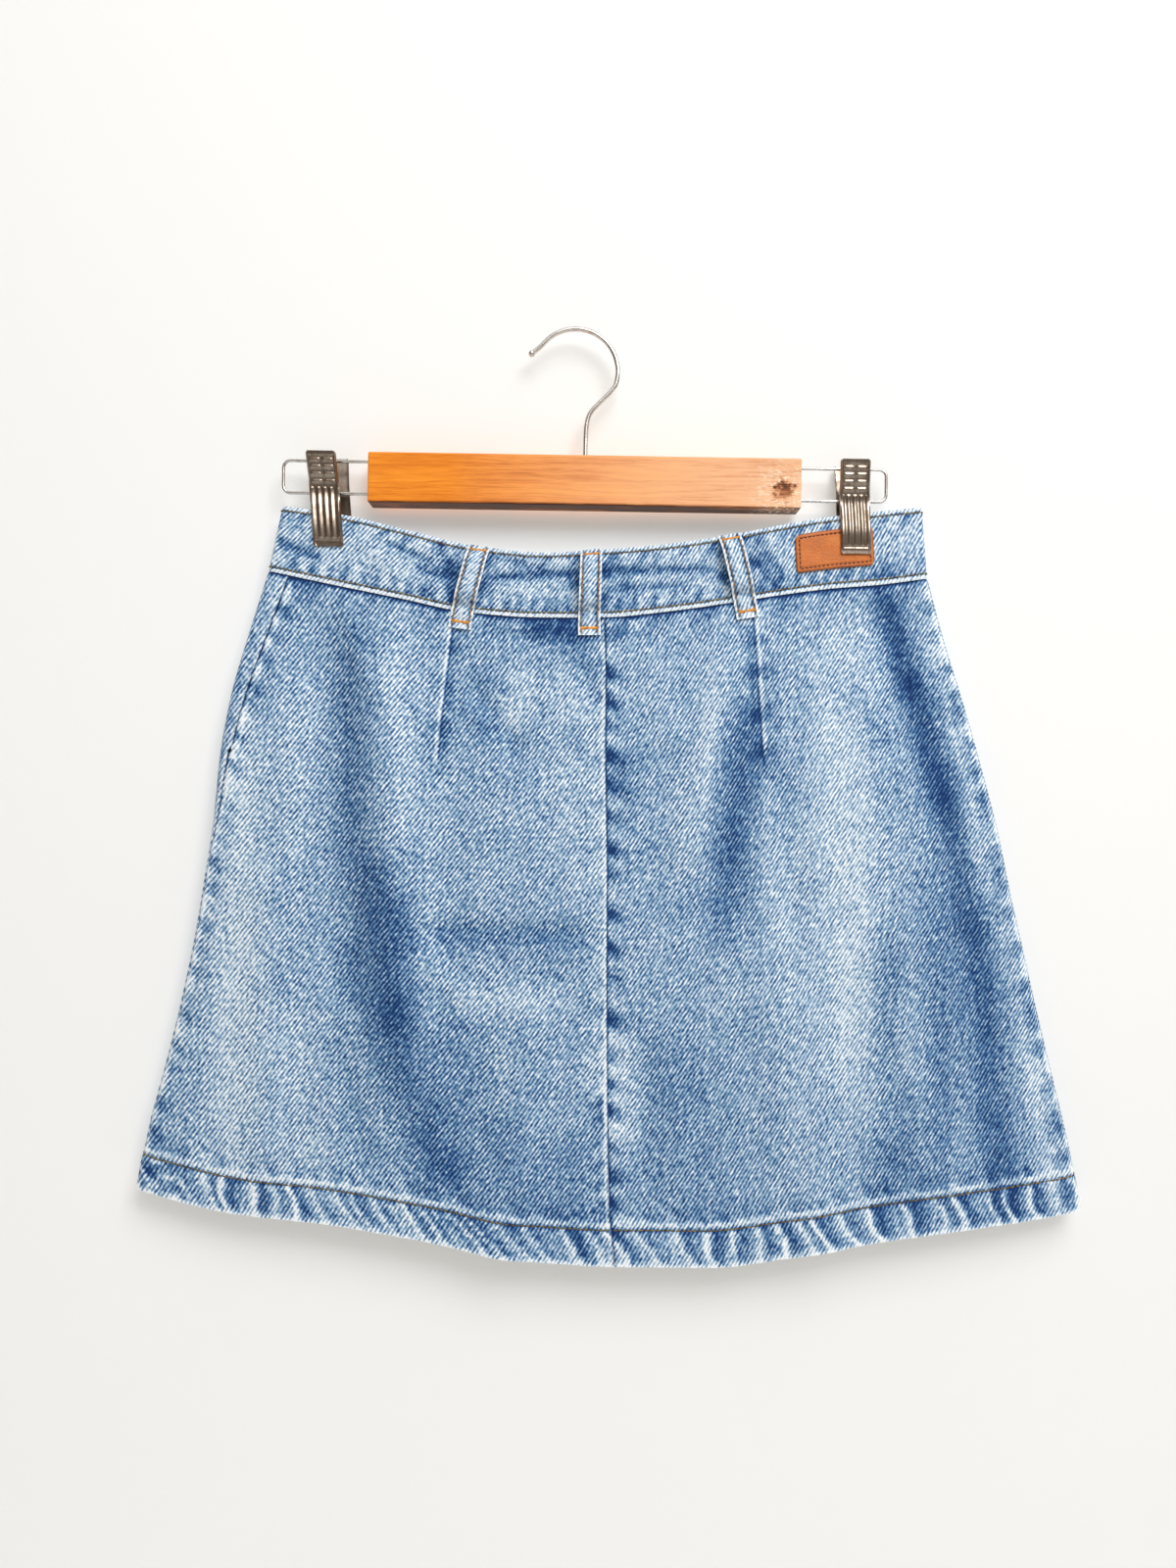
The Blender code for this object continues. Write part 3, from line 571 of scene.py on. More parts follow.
def dart_relief(relief, side, turn, down):
    """A sewn dart: a ditch, a worn edge beside it and a dimple at its point."""
    row = LEFT_DART_TURN if side < 0 else RIGHT_DART_TURN
    away = (turn - np.interp(down, DART_DOWN, row)) * half_width(side, down)
    alive = ease((DART_TIP - down) / 0.03)
    relief.stripe(away, 0.0, 0.55, -0.6, 0.9, within=alive)
    relief.stripe(away, 1.6, 1.2, 0.35, pale=1.0, within=alive)
    relief.stripe(away, -2.4, 2.2, 0.1, 0.35, within=alive)
    relief.stripe(away, 0.0, 5.0, -0.9, 0.35, within=hump((down - DART_TIP - 0.004) / 0.016))
    spots = uneven(0.0, DART_TIP, 0.05, DART_SEED + side)
    relief.pucker(down, np.abs(away), 7 * MM, 0.0, spots, 0.012, 0.3, 0.9)


def side_relief(relief, side, turn, down, z, outward):
    """The side seam's edge and the dents beside it."""
    seam = side_seam(side, down)
    arc = side_arc(down)
    flat = half_width(side, down)
    reach = np.minimum(turn, 1.0) * flat + np.maximum(turn - 1.0, 0.0) * arc
    edge = np.minimum(seam, 1.0) * flat + np.maximum(seam - 1.0, 0.0) * arc
    away = (edge - reach) * outward
    if outward > 0:
        relief.stripe(away, 0.0, 0.9, -0.4, 1.1)
        relief.stripe(away, 2.4, 1.8, 0.35, pale=0.95)
        spots = uneven(-0.49, -0.14, 15 * MM, BACK_SIDE_SEED + side)
        relief.pucker(z, away, 8 * MM, 0.6, spots, 4 * MM, 0.6, 1.5)
    else:
        relief.stripe(away, 1.0, 1.1, 0.35, pale=0.75)
        spots = uneven(-0.49, -0.14, 16 * MM, FRONT_SIDE_SEED + side)
        relief.pucker(z, away - 2 * MM, 5 * MM, -0.5, spots, 4 * MM, 0.3, 0.55)


def hem_relief(relief, x, down, seed):
    """Turned-up hem: its stitched ditch and the slanting ropes of its edge."""
    up = (1.0 - down) * PANEL_LENGTH
    over = up - HEM_HEIGHT
    within = ease(-over / (1.0 * MM))
    relief.add(within, 0.45)
    relief.stripe(over, -0.7, 1.1, -0.5, 0.9)
    relief.stripe(over, 2.3, 2.1, 0.35, pale=0.75)
    relief.stripe(up, 0.0, 1.4, pale=0.9)
    sway = 1.6 * MM * np.sin(up * 260.0 + x * 70.0)
    slope = 0.42 + 0.18 * np.sin(x * 47.0) + 0.75 * hump((x + 0.045) / 0.055)
    skewed = x + slope * up + sway
    spots = uneven(-0.30, 0.36, 13 * MM, seed)
    rope = np.clip(bumps(skewed, *spots, 1.7 * MM), 0.0, 1.1)
    swell = np.clip(bumps(skewed - 4.5 * MM, *spots, 5.2 * MM), 0.0, 1.0)
    low_fade = ease(up / (6 * MM)) * 0.8 + 0.2
    relief.add(within * rope, 0.6, 0.0, 1.6)
    relief.height += within * (swell - 0.5) * 0.4 * MM
    relief.pale += within * (1.0 - swell) * 0.25
    relief.dark_wear_and_shade += within * (1.0 - rope) * 1.05 * swell * low_fade
    spots = uneven(-0.30, 0.36, 13 * MM, seed + 1)
    relief.pucker(skewed, over - 4.0 * MM, 7 * MM, 0.0, spots, 3.5 * MM, 0.35, 0.9)


def waist_relief(relief, x, down, seed):
    """The panel's top, shaded under the waistband, with small gathers."""
    below = down * PANEL_LENGTH
    # A painted shadow line on the panel just under the waistband.
    relief.stripe(below, 0.0, 1.2, -0.3, 2.2)
    spots = uneven(-0.25, 0.25, 12 * MM, seed)
    relief.pucker(x, below, 10 * MM, 0.5, spots, 3.5 * MM, 0.4, 0.75)


def crease_relief(relief, x, z, creases):
    soft = fold_height(x, z, creases)
    relief.soft += soft
    # The creases' troughs are darkened as painted shade; their crests are lightened, partly wear
    # and partly painted light.
    relief.dark_wear_and_shade += np.clip(-soft / (1.6 * MM), 0.0, 1.0) * 0.25
    relief.pale += np.clip(soft / (1.6 * MM), 0.0, 1.0) * 0.12


def back_relief(side, turn, down, places):
    x = places[:, 0]
    z = places[:, 2]
    relief = Relief(len(x))
    crease_relief(relief, x, z, BACK_CREASES)
    seam_relief(relief, side, down, x, z)
    dart_relief(relief, side, turn, down)
    side_relief(relief, side, turn, down, z, 1.0)
    hem_relief(relief, x, down, BACK_HEM_SEED)
    waist_relief(relief, x, down, BACK_WAIST_SEED)
    # Wash tone: partly the cloth's own fade, partly painted shade and painted light of the folds.
    relief.wash = fold_height(x, z, WASH_AND_FOLD_SHADE) / MM
    return relief


def front_relief(side, turn, down, places):
    x = places[:, 0]
    z = places[:, 2]
    relief = Relief(len(x))
    on_front = ease((turn - 1.6) / 0.4)
    relief.soft += fold_height(x, z, FRONT_CREASES) * on_front
    side_relief(relief, side, turn, down, z, -1.0)
    hem_relief(relief, x, down, FRONT_HEM_SEED)
    waist_relief(relief, x, down, FRONT_WAIST_SEED)
    away = np.abs(x - section("seam_x", down))
    relief.stripe(away, 1.4, 1.2, 0.4 if side < 0 else 0.1, pale=0.5, within=on_front)
    relief.stripe(away, 0.0, 0.8, -0.3, 0.7, within=on_front)
    spots = uneven(-0.50, -0.16, 18 * MM, FRONT_SEAM_SEED + side)
    beside = np.where(on_front > 0.5, away, 1.0)
    relief.pucker(z, beside, 7 * MM, 0.4, spots, 4 * MM, 0.4, 0.7)
    return relief


# ---------------------------------------------------------------- mesh making

def link_object(name, mesh, finish):
    made = bpy.data.objects.new(name, mesh)
    bpy.context.scene.collection.objects.link(made)
    mesh.materials.clear()
    mesh.materials.append(finish)
    return made


def finished(name, mesh, finish, nodes=()):
    """The piece in its finish, in place of its nodes and fixed to the body."""
    made = link_object(name, mesh, finish)
    if nodes:
        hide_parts(*nodes)
    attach(made, "root")
    return made


def closed_mesh(name, bm, sharp=None):
    """The mesh of a bmesh, smooth but for edges past the sharp angle."""
    mesh = bpy.data.meshes.new(name)
    bm.to_mesh(mesh)
    bm.free()
    mesh.shade_smooth()
    if sharp:
        mesh.set_sharp_from_angle(angle=math.radians(sharp))
    return mesh


def two_face_mesh(name, grid, outer, inner, sharp=None):
    """A closed sheet from two grids joined round their rims."""
    bm = bmesh.new()
    for places in (outer, inner):
        made = bmesh.ops.create_grid(bm, x_segments=grid[0], y_segments=grid[1], size=1.0)
        for vert, place in zip(made["verts"], places.tolist()):
            vert.co = place
    rims = [edge for edge in bm.edges if edge.is_boundary]
    bmesh.ops.bridge_loops(bm, edges=rims)
    bmesh.ops.recalc_face_normals(bm, faces=bm.faces)
    return closed_mesh(name, bm, sharp)


def grid_shares(grid):
    """The (a, b) shares of a grid's corners, in the operator's own order."""
    bm = bmesh.new()
    bmesh.ops.create_grid(bm, x_segments=grid[0], y_segments=grid[1], size=1.0)
    flat = np.array([(v.co.x, v.co.y) for v in bm.verts])
    bm.free()
    return (flat[:, 0] + 1.0) / 2.0, (flat[:, 1] + 1.0) / 2.0


def write_attribute(mesh, name, values):
    layer = mesh.attributes.new(name, "FLOAT", "POINT")
    layer.data.foreach_set("value", values.astype(np.float32))


def write_cut(mesh, cut):
    """The flat cut's measures in metres, as the piece's own map."""
    layer = mesh.uv_layers.new(name="cut")
    corner = np.zeros(len(mesh.loops), dtype=np.int32)
    mesh.loops.foreach_get("vertex_index", corner)
    layer.data.foreach_set("uv", cut[corner].astype(np.float32).ravel())


def cloth_piece(node, grid, faces, finish):
    """A sewn piece of cloth. faces(a, b) gives both faces, the relief and the cut."""
    a, b = grid_shares(grid)
    outer, inner, relief, cut = faces(a, b)
    mesh = two_face_mesh("cloth_" + node, grid, outer, inner, 60.0)
    zero = np.zeros(len(a))
    for layer, values in (("dark_wear_and_shade", relief.dark_wear_and_shade), ("pale", relief.pale),
                          ("wash", relief.wash)):
        write_attribute(mesh, layer, np.concatenate((values, zero)))
    write_attribute(mesh, "inside", np.concatenate((zero, zero + 1.0)))
    write_cut(mesh, np.concatenate((cut, cut)))
    return finished("cloth_" + node, mesh, finish, (node,))


def knotted(a, marks, values):
    """Columns set by marks, which are shares of them, and the measure at each."""
    values = np.stack([np.broadcast_to(value, a.shape) for value in values])
    cell = np.clip(np.searchsorted(marks, a, side="right") - 1, 0, len(marks) - 2)
    t = (a - marks[cell]) / (marks[cell + 1] - marks[cell])
    pick = np.arange(len(a))
    return values[cell, pick] * (1.0 - t) + values[cell + 1, pick] * t


def marks_from(steps):
    total = np.cumsum(np.array((0,) + steps, dtype=float))
    return total / total[-1]


def back_turns(side, a, down):
    flat = half_width(side, down)
    row = LEFT_DART_TURN if side < 0 else RIGHT_DART_TURN
    dart = np.interp(down, DART_DOWN, row)
    seam = side_seam(side, down)
    last = seam - seam_gap(seam, down)
    values = (centre_gap(down), 4 * MM / flat, dart - 4 * MM / flat, dart + 4 * MM / flat,
              0.94, last)
    return knotted(a, marks_from(BACK_STEPS), values)


def front_turns(side, a, down):
    flat = half_width(side, down)
    seam = side_seam(side, down)
    first = seam + seam_gap(seam, down)
    last = 3.0 - centre_gap(down)
    values = (first, 2.0, 2.07, 3.0 - 4 * MM / flat, last)
    return knotted(a, marks_from(FRONT_STEPS), values)


def panel_rows(count):
    """Rows closer at the waist and in the hem."""
    start = 1.0 - (HEM_HEIGHT + 4 * MM) / PANEL_LENGTH
    top = np.linspace(0.0, 0.02, 6)
    middle = np.linspace(0.02, start, count)[1:]
    return np.concatenate((top, middle, np.linspace(start, 1.0, 22)[1:]))


def wall(down):
    start = 1.0 - HEM_HEIGHT / PANEL_LENGTH
    return CLOTH + (HEM_CLOTH - CLOTH) * ease((down - start) / 0.004)


def panel_faces(side, turns, rows, reliefs):
    def faces(a, b):
        down = spread(rows, b)
        turn = turns(side, a, down)
        base = panel_point(side, turn, down)
        lean = normal(panel_point, side, turn, down)
        relief = reliefs(side, turn, down, base)
        backing = 0.45 * MM - wall(down)
        height = np.maximum(relief.height, backing + THINNEST)
        outer = base + lean * (relief.soft + height)[:, None]
        inner = base + lean * (relief.soft + backing)[:, None]
        cut = np.stack((side * unrolled(side, turn, down), -down * PANEL_LENGTH), axis=-1)
        return outer, inner, relief, cut
    return faces


def make_panels(finish):
    made = []
    for label, side in SIDES:
        for face, steps, count, turns, reliefs in (
                ("back_", BACK_STEPS, BACK_ROWS, back_turns, back_relief),
                ("front_", FRONT_STEPS, FRONT_ROWS, front_turns, front_relief)):
            rows = panel_rows(count)
            grid = (sum(steps), len(rows) - 1)
            faces = panel_faces(side, turns, rows, reliefs)
            made.append(cloth_piece(face + label, grid, faces, finish))
    return made


def band_turn(x, side):
    """Measure round the band, on its back or front face, for a place across."""
    zero = np.zeros_like(x)
    middle = section("seam_x", zero)
    outline = section("left_x", zero) if side < 0 else section("right_x", zero)
    return (x - middle) / (outline - side * BAND_EDGE * TURN_ASPECT - middle)


def band_relief(x, z, up, turn):
    relief = Relief(len(x))
    below = up * BAND_HEIGHT
    above = (1.0 - up) * BAND_HEIGHT
    back = 1.0 - ease((turn - 1.0) / 0.3)
    height = fold_height(x, z, BAND_CREASES) * back
    relief.height += height
    # The band's creases are darkened in their troughs as painted shade.
    relief.dark_wear_and_shade += np.clip(-height / (0.8 * MM), 0.0, 1.2) * 1.1
    # A painted shadow on the band beside each back loop, strongest at mid height.
    for order, (_, _, top_x, low_x) in enumerate(LOOPS[:3]):
        centre = (top_x + (low_x - top_x) * (1.0 - up)) * MM
        beside = np.abs(x - centre) - LOOP_HALF_WIDTH
        ragged = 0.55 + 0.45 * np.sin(up * 15.0 + order * 2.0 + 2.0 * np.sign(x - centre))
        shade = back * hump((beside - 1.5 * MM) / (5.5 * MM)) * hump((up - 0.5) / 0.42)
        relief.add(shade * ragged, -0.35, 1.3, 0.0)
    relief.stripe(below, 0.9, 1.1, 0.30, pale=1.1)
    relief.stripe(below, 2.8, 0.9, -0.35, 0.8)
    relief.stripe(above, 0.7, 0.9, -0.1, pale=0.7)
    relief.stripe(above, 2.4, 0.9, -0.3, 0.7)
    spots = uneven(-0.20, 0.22, 8 * MM, BAND_SEED)
    relief.pucker(x, below - 3.5 * MM, 8 * MM, -0.25, spots, 2.4 * MM, 0.5, 1.5)
    spots = uneven(-0.20, 0.22, 13 * MM, BAND_SEED + 1)
    relief.pucker(x, above - 3.0 * MM, 9 * MM, 0.7, spots, 2.6 * MM, 0.35, 0.9)
    return relief


def band_faces(side):
    start = float(band_turn(np.array([BAND_SEAM_X]), -1.0)[0])
    first = start if side < 0 else -start * BAND_LEFT_HALF / BAND_RIGHT_HALF
    first += GAP / 2.0 / BAND_LEFT_HALF
    last = 3.0 - GAP / 2.0 / BAND_FRONT_HALF
    knots = np.concatenate((np.linspace(first, 0.96, 110), np.linspace(0.97, 2.03, 17),
                            np.linspace(2.04, last, 80)))

    def faces(a, b):
        turn = spread(knots, a)
        base = band_point(side, turn, b)
        lean = normal(band_point, side, turn, b)
        relief = band_relief(base[:, 0], base[:, 2], b, turn)
        rim = hump((1.0 - b) / 0.03) + 0.8 * hump(b / 0.03)
        lower = rim[:, None] * 0.55 * MM
        outer = base + lean * (relief.height[:, None] - lower)
        inner = base - lean * (BAND_CLOTH - lower)
        still = np.zeros_like(b)
        cut = np.stack((side * unrolled(side, turn, still) + 0.003, b * BAND_HEIGHT), axis=-1)
        return outer, inner, relief, cut
    return faces


def make_waistband(finish):
    return [cloth_piece("waistband_" + label, BAND_GRID, band_faces(side), finish)
            for label, side in SIDES]


def skin(facing, x, up):
    """Cloth face and its outward direction; up below 0 is the panel under the seam."""
    still = np.zeros_like(x)
    side = np.where(x < section("seam_x", still), -1.0, 1.0)
    turn = np.where(side < 0, band_turn(x, -1.0), band_turn(x, 1.0))
    turn = turn if facing == "back" else 3.0 - turn
    on_band = band_point(side, turn, np.maximum(up, 0.0))
    on_panel = panel_point(side, turn, np.maximum(-up, 0.0))
    share = ease((-up - LOOP_RECEDE[0]) / (LOOP_RECEDE[1] - LOOP_RECEDE[0]))[:, None]
    places = on_band * (1.0 - share) + on_panel * share
    places[:, 2] = np.where(up < 0.0, on_panel[:, 2], on_band[:, 2])
    lean = np.zeros_like(places)
    lean[:, 1] = -1.0 if facing == "back" else 1.0
    return places, lean


LOOP_HEIGHTS = np.concatenate((np.linspace(1.0, 0.0, 37), (-0.004, -0.008, -0.012, -0.02,
                                                           -LOOP_TAIL)))


def loop_bow(up):
    height = np.clip((0.97 - up) / 0.90, 0.0, 1.0)
    return LOOP_BOW * (1.0 - (2.0 * height - 1.0) ** 6) ** 2


def loop_faces(facing, top_x, low_x, seed):
    def faces(a, b):
        up = spread(LOOP_HEIGHTS, b)
        middle = top_x + (low_x - top_x) * (1.0 - up)
        aside = (a - 0.5) * 2.0
        x = middle * MM + aside * LOOP_HALF_WIDTH
        places, lean = skin(facing, x, up)
        relief = Relief(len(x))
        relief.add(hump(aside / 0.20), 0.30, 0.0, 0.2)
        relief.add(hump((np.abs(aside) - 0.70) / 0.15), -0.30, 0.9, 0.0)
        relief.add(hump((np.abs(aside) - 0.98) / 0.14), -0.1, 0.0, 1.1)
        dents = bumps(up + 0.06 * aside, *uneven(-0.1, 1.0, 0.14, seed), 0.035)
        relief.add(dents * (np.abs(aside) < 0.8), -0.15, 0.45, 0.0)
        relief.add(hump((up - 0.99) / 0.02) + hump((up + LOOP_TAIL) / 0.006), 0.0, 0.0, 0.6)
        base = places + lean * (GAP + loop_bow(up))[:, None]
        outer = base + lean * (LOOP_CLOTH + relief.height)[:, None]
        length = np.where(up < 0.0, up * PANEL_LENGTH, up * BAND_HEIGHT)
        cut = np.stack((aside * LOOP_HALF_WIDTH + 0.02 * seed, length), axis=-1)
        return outer, base, relief, cut
    return faces


def make_loops(finish):
    return [cloth_piece(name, LOOP_GRID, loop_faces(*places, LOOP_SEED + order), finish)
            for order, (name, *places) in enumerate(LOOPS)]


def make_placket(finish):
    def faces(a, b):
        down = 0.004 + PLACKET_DOWN * b
        x = section("seam_x", down) + (a - 0.5) * 2.0 * PLACKET_HALF_WIDTH
        side = np.where(a < 0.5, -1.0, 1.0)
        outline = np.where(side < 0, section("left_x", down), section("right_x", down))
        middle = section("seam_x", down)
        edge = section("edge", down) * TURN_ASPECT
        turn = 3.0 - (x - middle) / (outline - side * edge - middle)
        outer = panel_point(side, turn, down)
        outer[:, 1] -= CLOTH * 1.02 + GAP
        inner = outer.copy()
        inner[:, 1] -= CLOTH
        relief = Relief(len(a))
        relief.add(hump((np.abs(a - 0.5) - 0.47) / 0.03), 0.0, 0.0, 0.5)
        return outer, inner, relief, np.stack((x, -down * PANEL_LENGTH), axis=-1)
    return cloth_piece("fly_placket", PLACKET_GRID, faces, finish)


# ---------------------------------------------------------------- thread

def resampled(path, lean, pitch):
    steps = np.linalg.norm(np.diff(path, axis=0), axis=1)
    arc = np.concatenate(((0.0,), np.cumsum(steps)))
    count = max(1, int(arc[-1] / pitch))
    at = (np.arange(count) + 0.5) * arc[-1] / count
    reach = pitch * 0.3

    def pick(values, where):
        return np.stack([np.interp(where, arc, values[:, k]) for k in range(3)], axis=-1)

    centre = pick(path, at)
    ahead = pick(path, at + reach) - pick(path, at - reach)
    return centre, ahead, pick(lean, at)


def sew(bm, path, lean, pitch=2.9, length=3.0, width=1.15, height=0.75):
    """One row of stitches, each a small rounded spindle lying on the cloth."""
    for centre, ahead, out in zip(*resampled(path, lean, pitch * MM)):
        ahead = ahead / np.linalg.norm(ahead)
        side = np.cross(out, ahead)
        side = side / np.linalg.norm(side)
        out = np.cross(ahead, side)
        stitch = np.eye(4)
        stitch[:3, 0] = ahead * length / 2 * MM
        stitch[:3, 1] = side * width / 2 * MM
        stitch[:3, 2] = out * height / 2 * MM
        stitch[:3, 3] = centre + out * STITCH_LIFT
        bmesh.ops.create_icosphere(bm, subdivisions=1, radius=1.0, matrix=Matrix(stitch))


def thread_piece(name, rows, finish):
    bm = bmesh.new()
    for path, lean, sizes in rows:
        sew(bm, path, lean, **sizes)
    return finished(name, closed_mesh(name, bm), finish)


def band_row(side, turns, up):
    height = np.full_like(turns, up)
    lean = normal(band_point, side, turns, height)
    return band_point(side, turns, height) - lean * BAND_ROW_SINK, lean, {}


def panel_row(side, turns, downs, reliefs):
    base = panel_point(side, turns, downs)
    lean = normal(panel_point, side, turns, downs)
    relief = reliefs(side, turns, downs, base)
    return base + lean * (relief.soft + relief.height)[:, None], lean, {}


def make_band_thread(finish):
    rows = []
    for side in (-1, 1):
        start = -0.04 if side > 0 else 0.05
        turns = np.linspace(start, 2.995, 400)
        rows.append(band_row(side, turns, 1.0 - BAND_ROW_IN / BAND_HEIGHT))
        rows.append(band_row(side, turns, BAND_ROW_UP / BAND_HEIGHT))
    return thread_piece("thread_waistband", rows, finish)


def make_hem_thread(finish):
    rows = []
    level = 1.0 - (HEM_HEIGHT - 0.6 * MM) / PANEL_LENGTH
    for side in (-1, 1):
        seam = float(side_seam(side, np.array([level]))[0])
        turns = np.linspace(0.004, seam - 0.02, 500)
        rows.append(panel_row(side, turns, np.full_like(turns, level), back_relief))
        turns = np.linspace(seam + 0.02, 2.996, 500)
        rows.append(panel_row(side, turns, np.full_like(turns, level), front_relief))
    return thread_piece("thread_hem", rows, finish)


def make_fly_thread(finish):
    """The curved double row that holds the placket, on the garment's front."""
    rows = []
    for inset in (0.0, 5.0):
        share = np.linspace(0.0, 1.0, 160)
        depth = PLACKET_DOWN - 0.012 - inset * MM / PANEL_LENGTH
        down = 0.006 + depth * np.minimum(share / 0.8, 1.0)
        turned = ease((share - 0.55) / 0.45)
        width = (28.0 - inset) * (1.0 - turned) + 1.5
        down = down + turned * 0.03
        turns = 3.0 - width * MM / half_width(-1, down)
        rows.append(panel_row(-1, turns, down, front_relief))
    return thread_piece("thread_fly", rows, finish)


def make_loop_thread(edge_finish, bar_finish):
    edges = []
    bars = []
    for _, *places in LOOPS:
        for aside in (-LOOP_ROW_ASIDE, LOOP_ROW_ASIDE):
            up = np.linspace(0.99, -LOOP_TAIL * 0.9, 120)
            edges.append(loop_path(*places, aside, up, LOOP_STITCH))
        for level, reach in ((0.93, 0.030), (-0.016, 0.0033)):
            for aside in np.linspace(-LOOP_ROW_ASIDE, LOOP_ROW_ASIDE, 13):
                up = level + np.linspace(-reach, reach, 5)
                bars.append(loop_path(*places, aside, up, BAR_TACK))
    thread_piece("thread_loops", edges, edge_finish)
    thread_piece("thread_bar_tacks", bars, bar_finish)


def loop_path(facing, top_x, low_x, aside, up, sizes):
    middle = top_x + (low_x - top_x) * (1.0 - up)
    places, lean = skin(facing, middle * MM + aside * LOOP_HALF_WIDTH, up)
    path = places + lean * (GAP + loop_bow(up) + LOOP_CLOTH - 0.12 * MM)[:, None]
    return path, lean, sizes


# ---------------------------------------------------------------- leather, button

def patch_outline(a, b, corner=3.0):
    """A rectangle's shares with its corners rounded, from a plain square's."""
    wide = (PATCH_RIGHT - PATCH_LEFT) / 2 / MM
    tall = (PATCH_HIGH - PATCH_LOW) * BAND_HEIGHT / 2 / MM
    x = (a - 0.5) * 2.0 * wide
    z = (b - 0.5) * 2.0 * tall
    over_x = np.maximum(np.abs(x) - (wide - corner), 0.0)
    over_z = np.maximum(np.abs(z) - (tall - corner), 0.0)
    pull = np.maximum(over_x, over_z) / np.maximum(np.hypot(over_x, over_z), 1e-9)
    x = np.sign(x) * (np.minimum(np.abs(x), wide - corner) + over_x * pull)
    z = np.sign(z) * (np.minimum(np.abs(z), tall - corner) + over_z * pull)
    inset = np.minimum(wide - np.abs(x), tall - np.abs(z))
    return x / wide / 2 + 0.5, z / tall / 2 + 0.5, inset


def patch_surface(a, b, lift):
    x = PATCH_LEFT + (PATCH_RIGHT - PATCH_LEFT) * a
    places, lean = skin("back", x, PATCH_LOW + (PATCH_HIGH - PATCH_LOW) * b)
    return places + lean * (GAP + lift)[:, None], lean


def make_patch(finish, thread):
    a, b, inset = patch_outline(*grid_shares(PATCH_GRID))
    edge = hump(inset / 0.7)
    ditch = hump((inset - 2.2) / 0.5)
    soft = 0.10 * np.sin(a * 11.0 + 2.0 * b) * np.sin(b * 7.0 - a * 4.0)
    lift = (PATCH_CLOTH / MM - 0.45 * edge - 0.22 * ditch + soft * (inset > 1.0)) * MM
    outer, _ = patch_surface(a, b, lift)
    inner, _ = patch_surface(a, b, np.zeros_like(a))
    mesh = two_face_mesh("leather_patch_sewn", PATCH_GRID, outer, inner)
    zero = np.zeros(len(a))
    write_attribute(mesh, "rim", np.concatenate((edge + 0.4 * ditch, zero + 1.0)))
    write_cut(mesh, np.concatenate([np.stack((a * 0.045, b * 0.024), axis=-1)] * 2))
    finished("leather_patch_sewn", mesh, finish, ("leather_patch",))
    share = np.linspace(0.0, 1.0, 400)
    corners = (0.0, 0.32, 0.5, 0.82, 1.0)
    ring_a = np.interp(share, corners, (0.05, 0.95, 0.95, 0.05, 0.05))
    ring_b = np.interp(share, corners, (0.1, 0.1, 0.9, 0.9, 0.1))
    path, lean = patch_surface(ring_a, ring_b, np.full_like(share, PATCH_CLOTH - 0.2 * MM))
    thread_piece("thread_patch", [(path, lean, PATCH_STITCH)], thread)


def revolve(name, profile, centre, steps, finish, nodes=()):
    """A round body about y, from (along, radius) pairs with their ends on the axis."""
    bm = bmesh.new()
    verts = [bm.verts.new((radius, 0.0, along)) for along, radius in profile]
    edges = [bm.edges.new(pair) for pair in zip(verts, verts[1:])]
    bmesh.ops.spin(bm, geom=verts + edges, cent=(0, 0, 0), axis=(0, 0, 1),
                   angle=math.tau, steps=steps, use_merge=True)
    bmesh.ops.remove_doubles(bm, verts=bm.verts, dist=1e-6)
    turned = Matrix.Rotation(-math.pi / 2, 4, "X")
    bmesh.ops.transform(bm, matrix=Matrix.Translation(centre) @ turned, verts=bm.verts)
    bmesh.ops.recalc_face_normals(bm, faces=bm.faces)
    finished(name, closed_mesh(name, bm, 35.0), finish, nodes)


def make_button(finish):
    places, _ = skin("front", np.array([BUTTON_X]), np.array([0.5]))
    x, y, z = places[0]
    rim = BUTTON_RADIUS
    deep = BUTTON_THICK
    profile = ((0.0, 0.0), (0.0, rim * 0.90), (deep * 0.15, rim * 0.97), (deep * 0.35, rim),
               (deep * 0.75, rim), (deep * 0.92, rim * 0.96), (deep, rim * 0.88),
               (deep * 0.98, rim * 0.80), (deep * 0.82, rim * 0.72), (deep * 0.76, rim * 0.60),
               (deep * 0.78, rim * 0.34), (deep * 0.90, rim * 0.26), (deep * 0.96, rim * 0.14),
               (deep * 0.97, 0.0))
    revolve("button_face", profile, (x, y + GAP, z), 48, finish,
            ("waist_button",))


# ---------------------------------------------------------------- hanger

def wire(name, node, path, radius, finish, sides):
    """A round wire swept along a path, with its ends closed."""
    data = bpy.data.curves.new(name, "CURVE")
    data.dimensions = "3D"
    data.bevel_depth = radius
    data.bevel_resolution = sides
    data.use_fill_caps = True
    spline = data.splines.new("POLY")
    spline.points.add(len(path) - 1)
    for knot, place in zip(spline.points, path):
        knot.co = (*place, 1.0)
    guide = bpy.data.objects.new(name + "_guide", data)
    bpy.context.scene.collection.objects.link(guide)
    swept = bpy.data.meshes.new_from_object(guide.evaluated_get(
        bpy.context.evaluated_depsgraph_get()))
    bpy.data.objects.remove(guide, do_unlink=True)
    bm = bmesh.new()
    bm.from_mesh(swept)
    bpy.data.meshes.remove(swept)
    bmesh.ops.remove_doubles(bm, verts=bm.verts, dist=1e-6)
    bmesh.ops.recalc_face_normals(bm, faces=bm.faces)
    finished(name, closed_mesh(name, bm, 50.0), finish, (node,))


def smooth_path(points, times=2):
    """Points with the corners cut, ends kept."""
    for _ in range(times):
        cut = [points[0]]
        for first, second in zip(points, points[1:]):
            cut.append(first * 0.75 + second * 0.25)
            cut.append(first * 0.25 + second * 0.75)
        cut.append(points[-1])
        points = cut
    return points


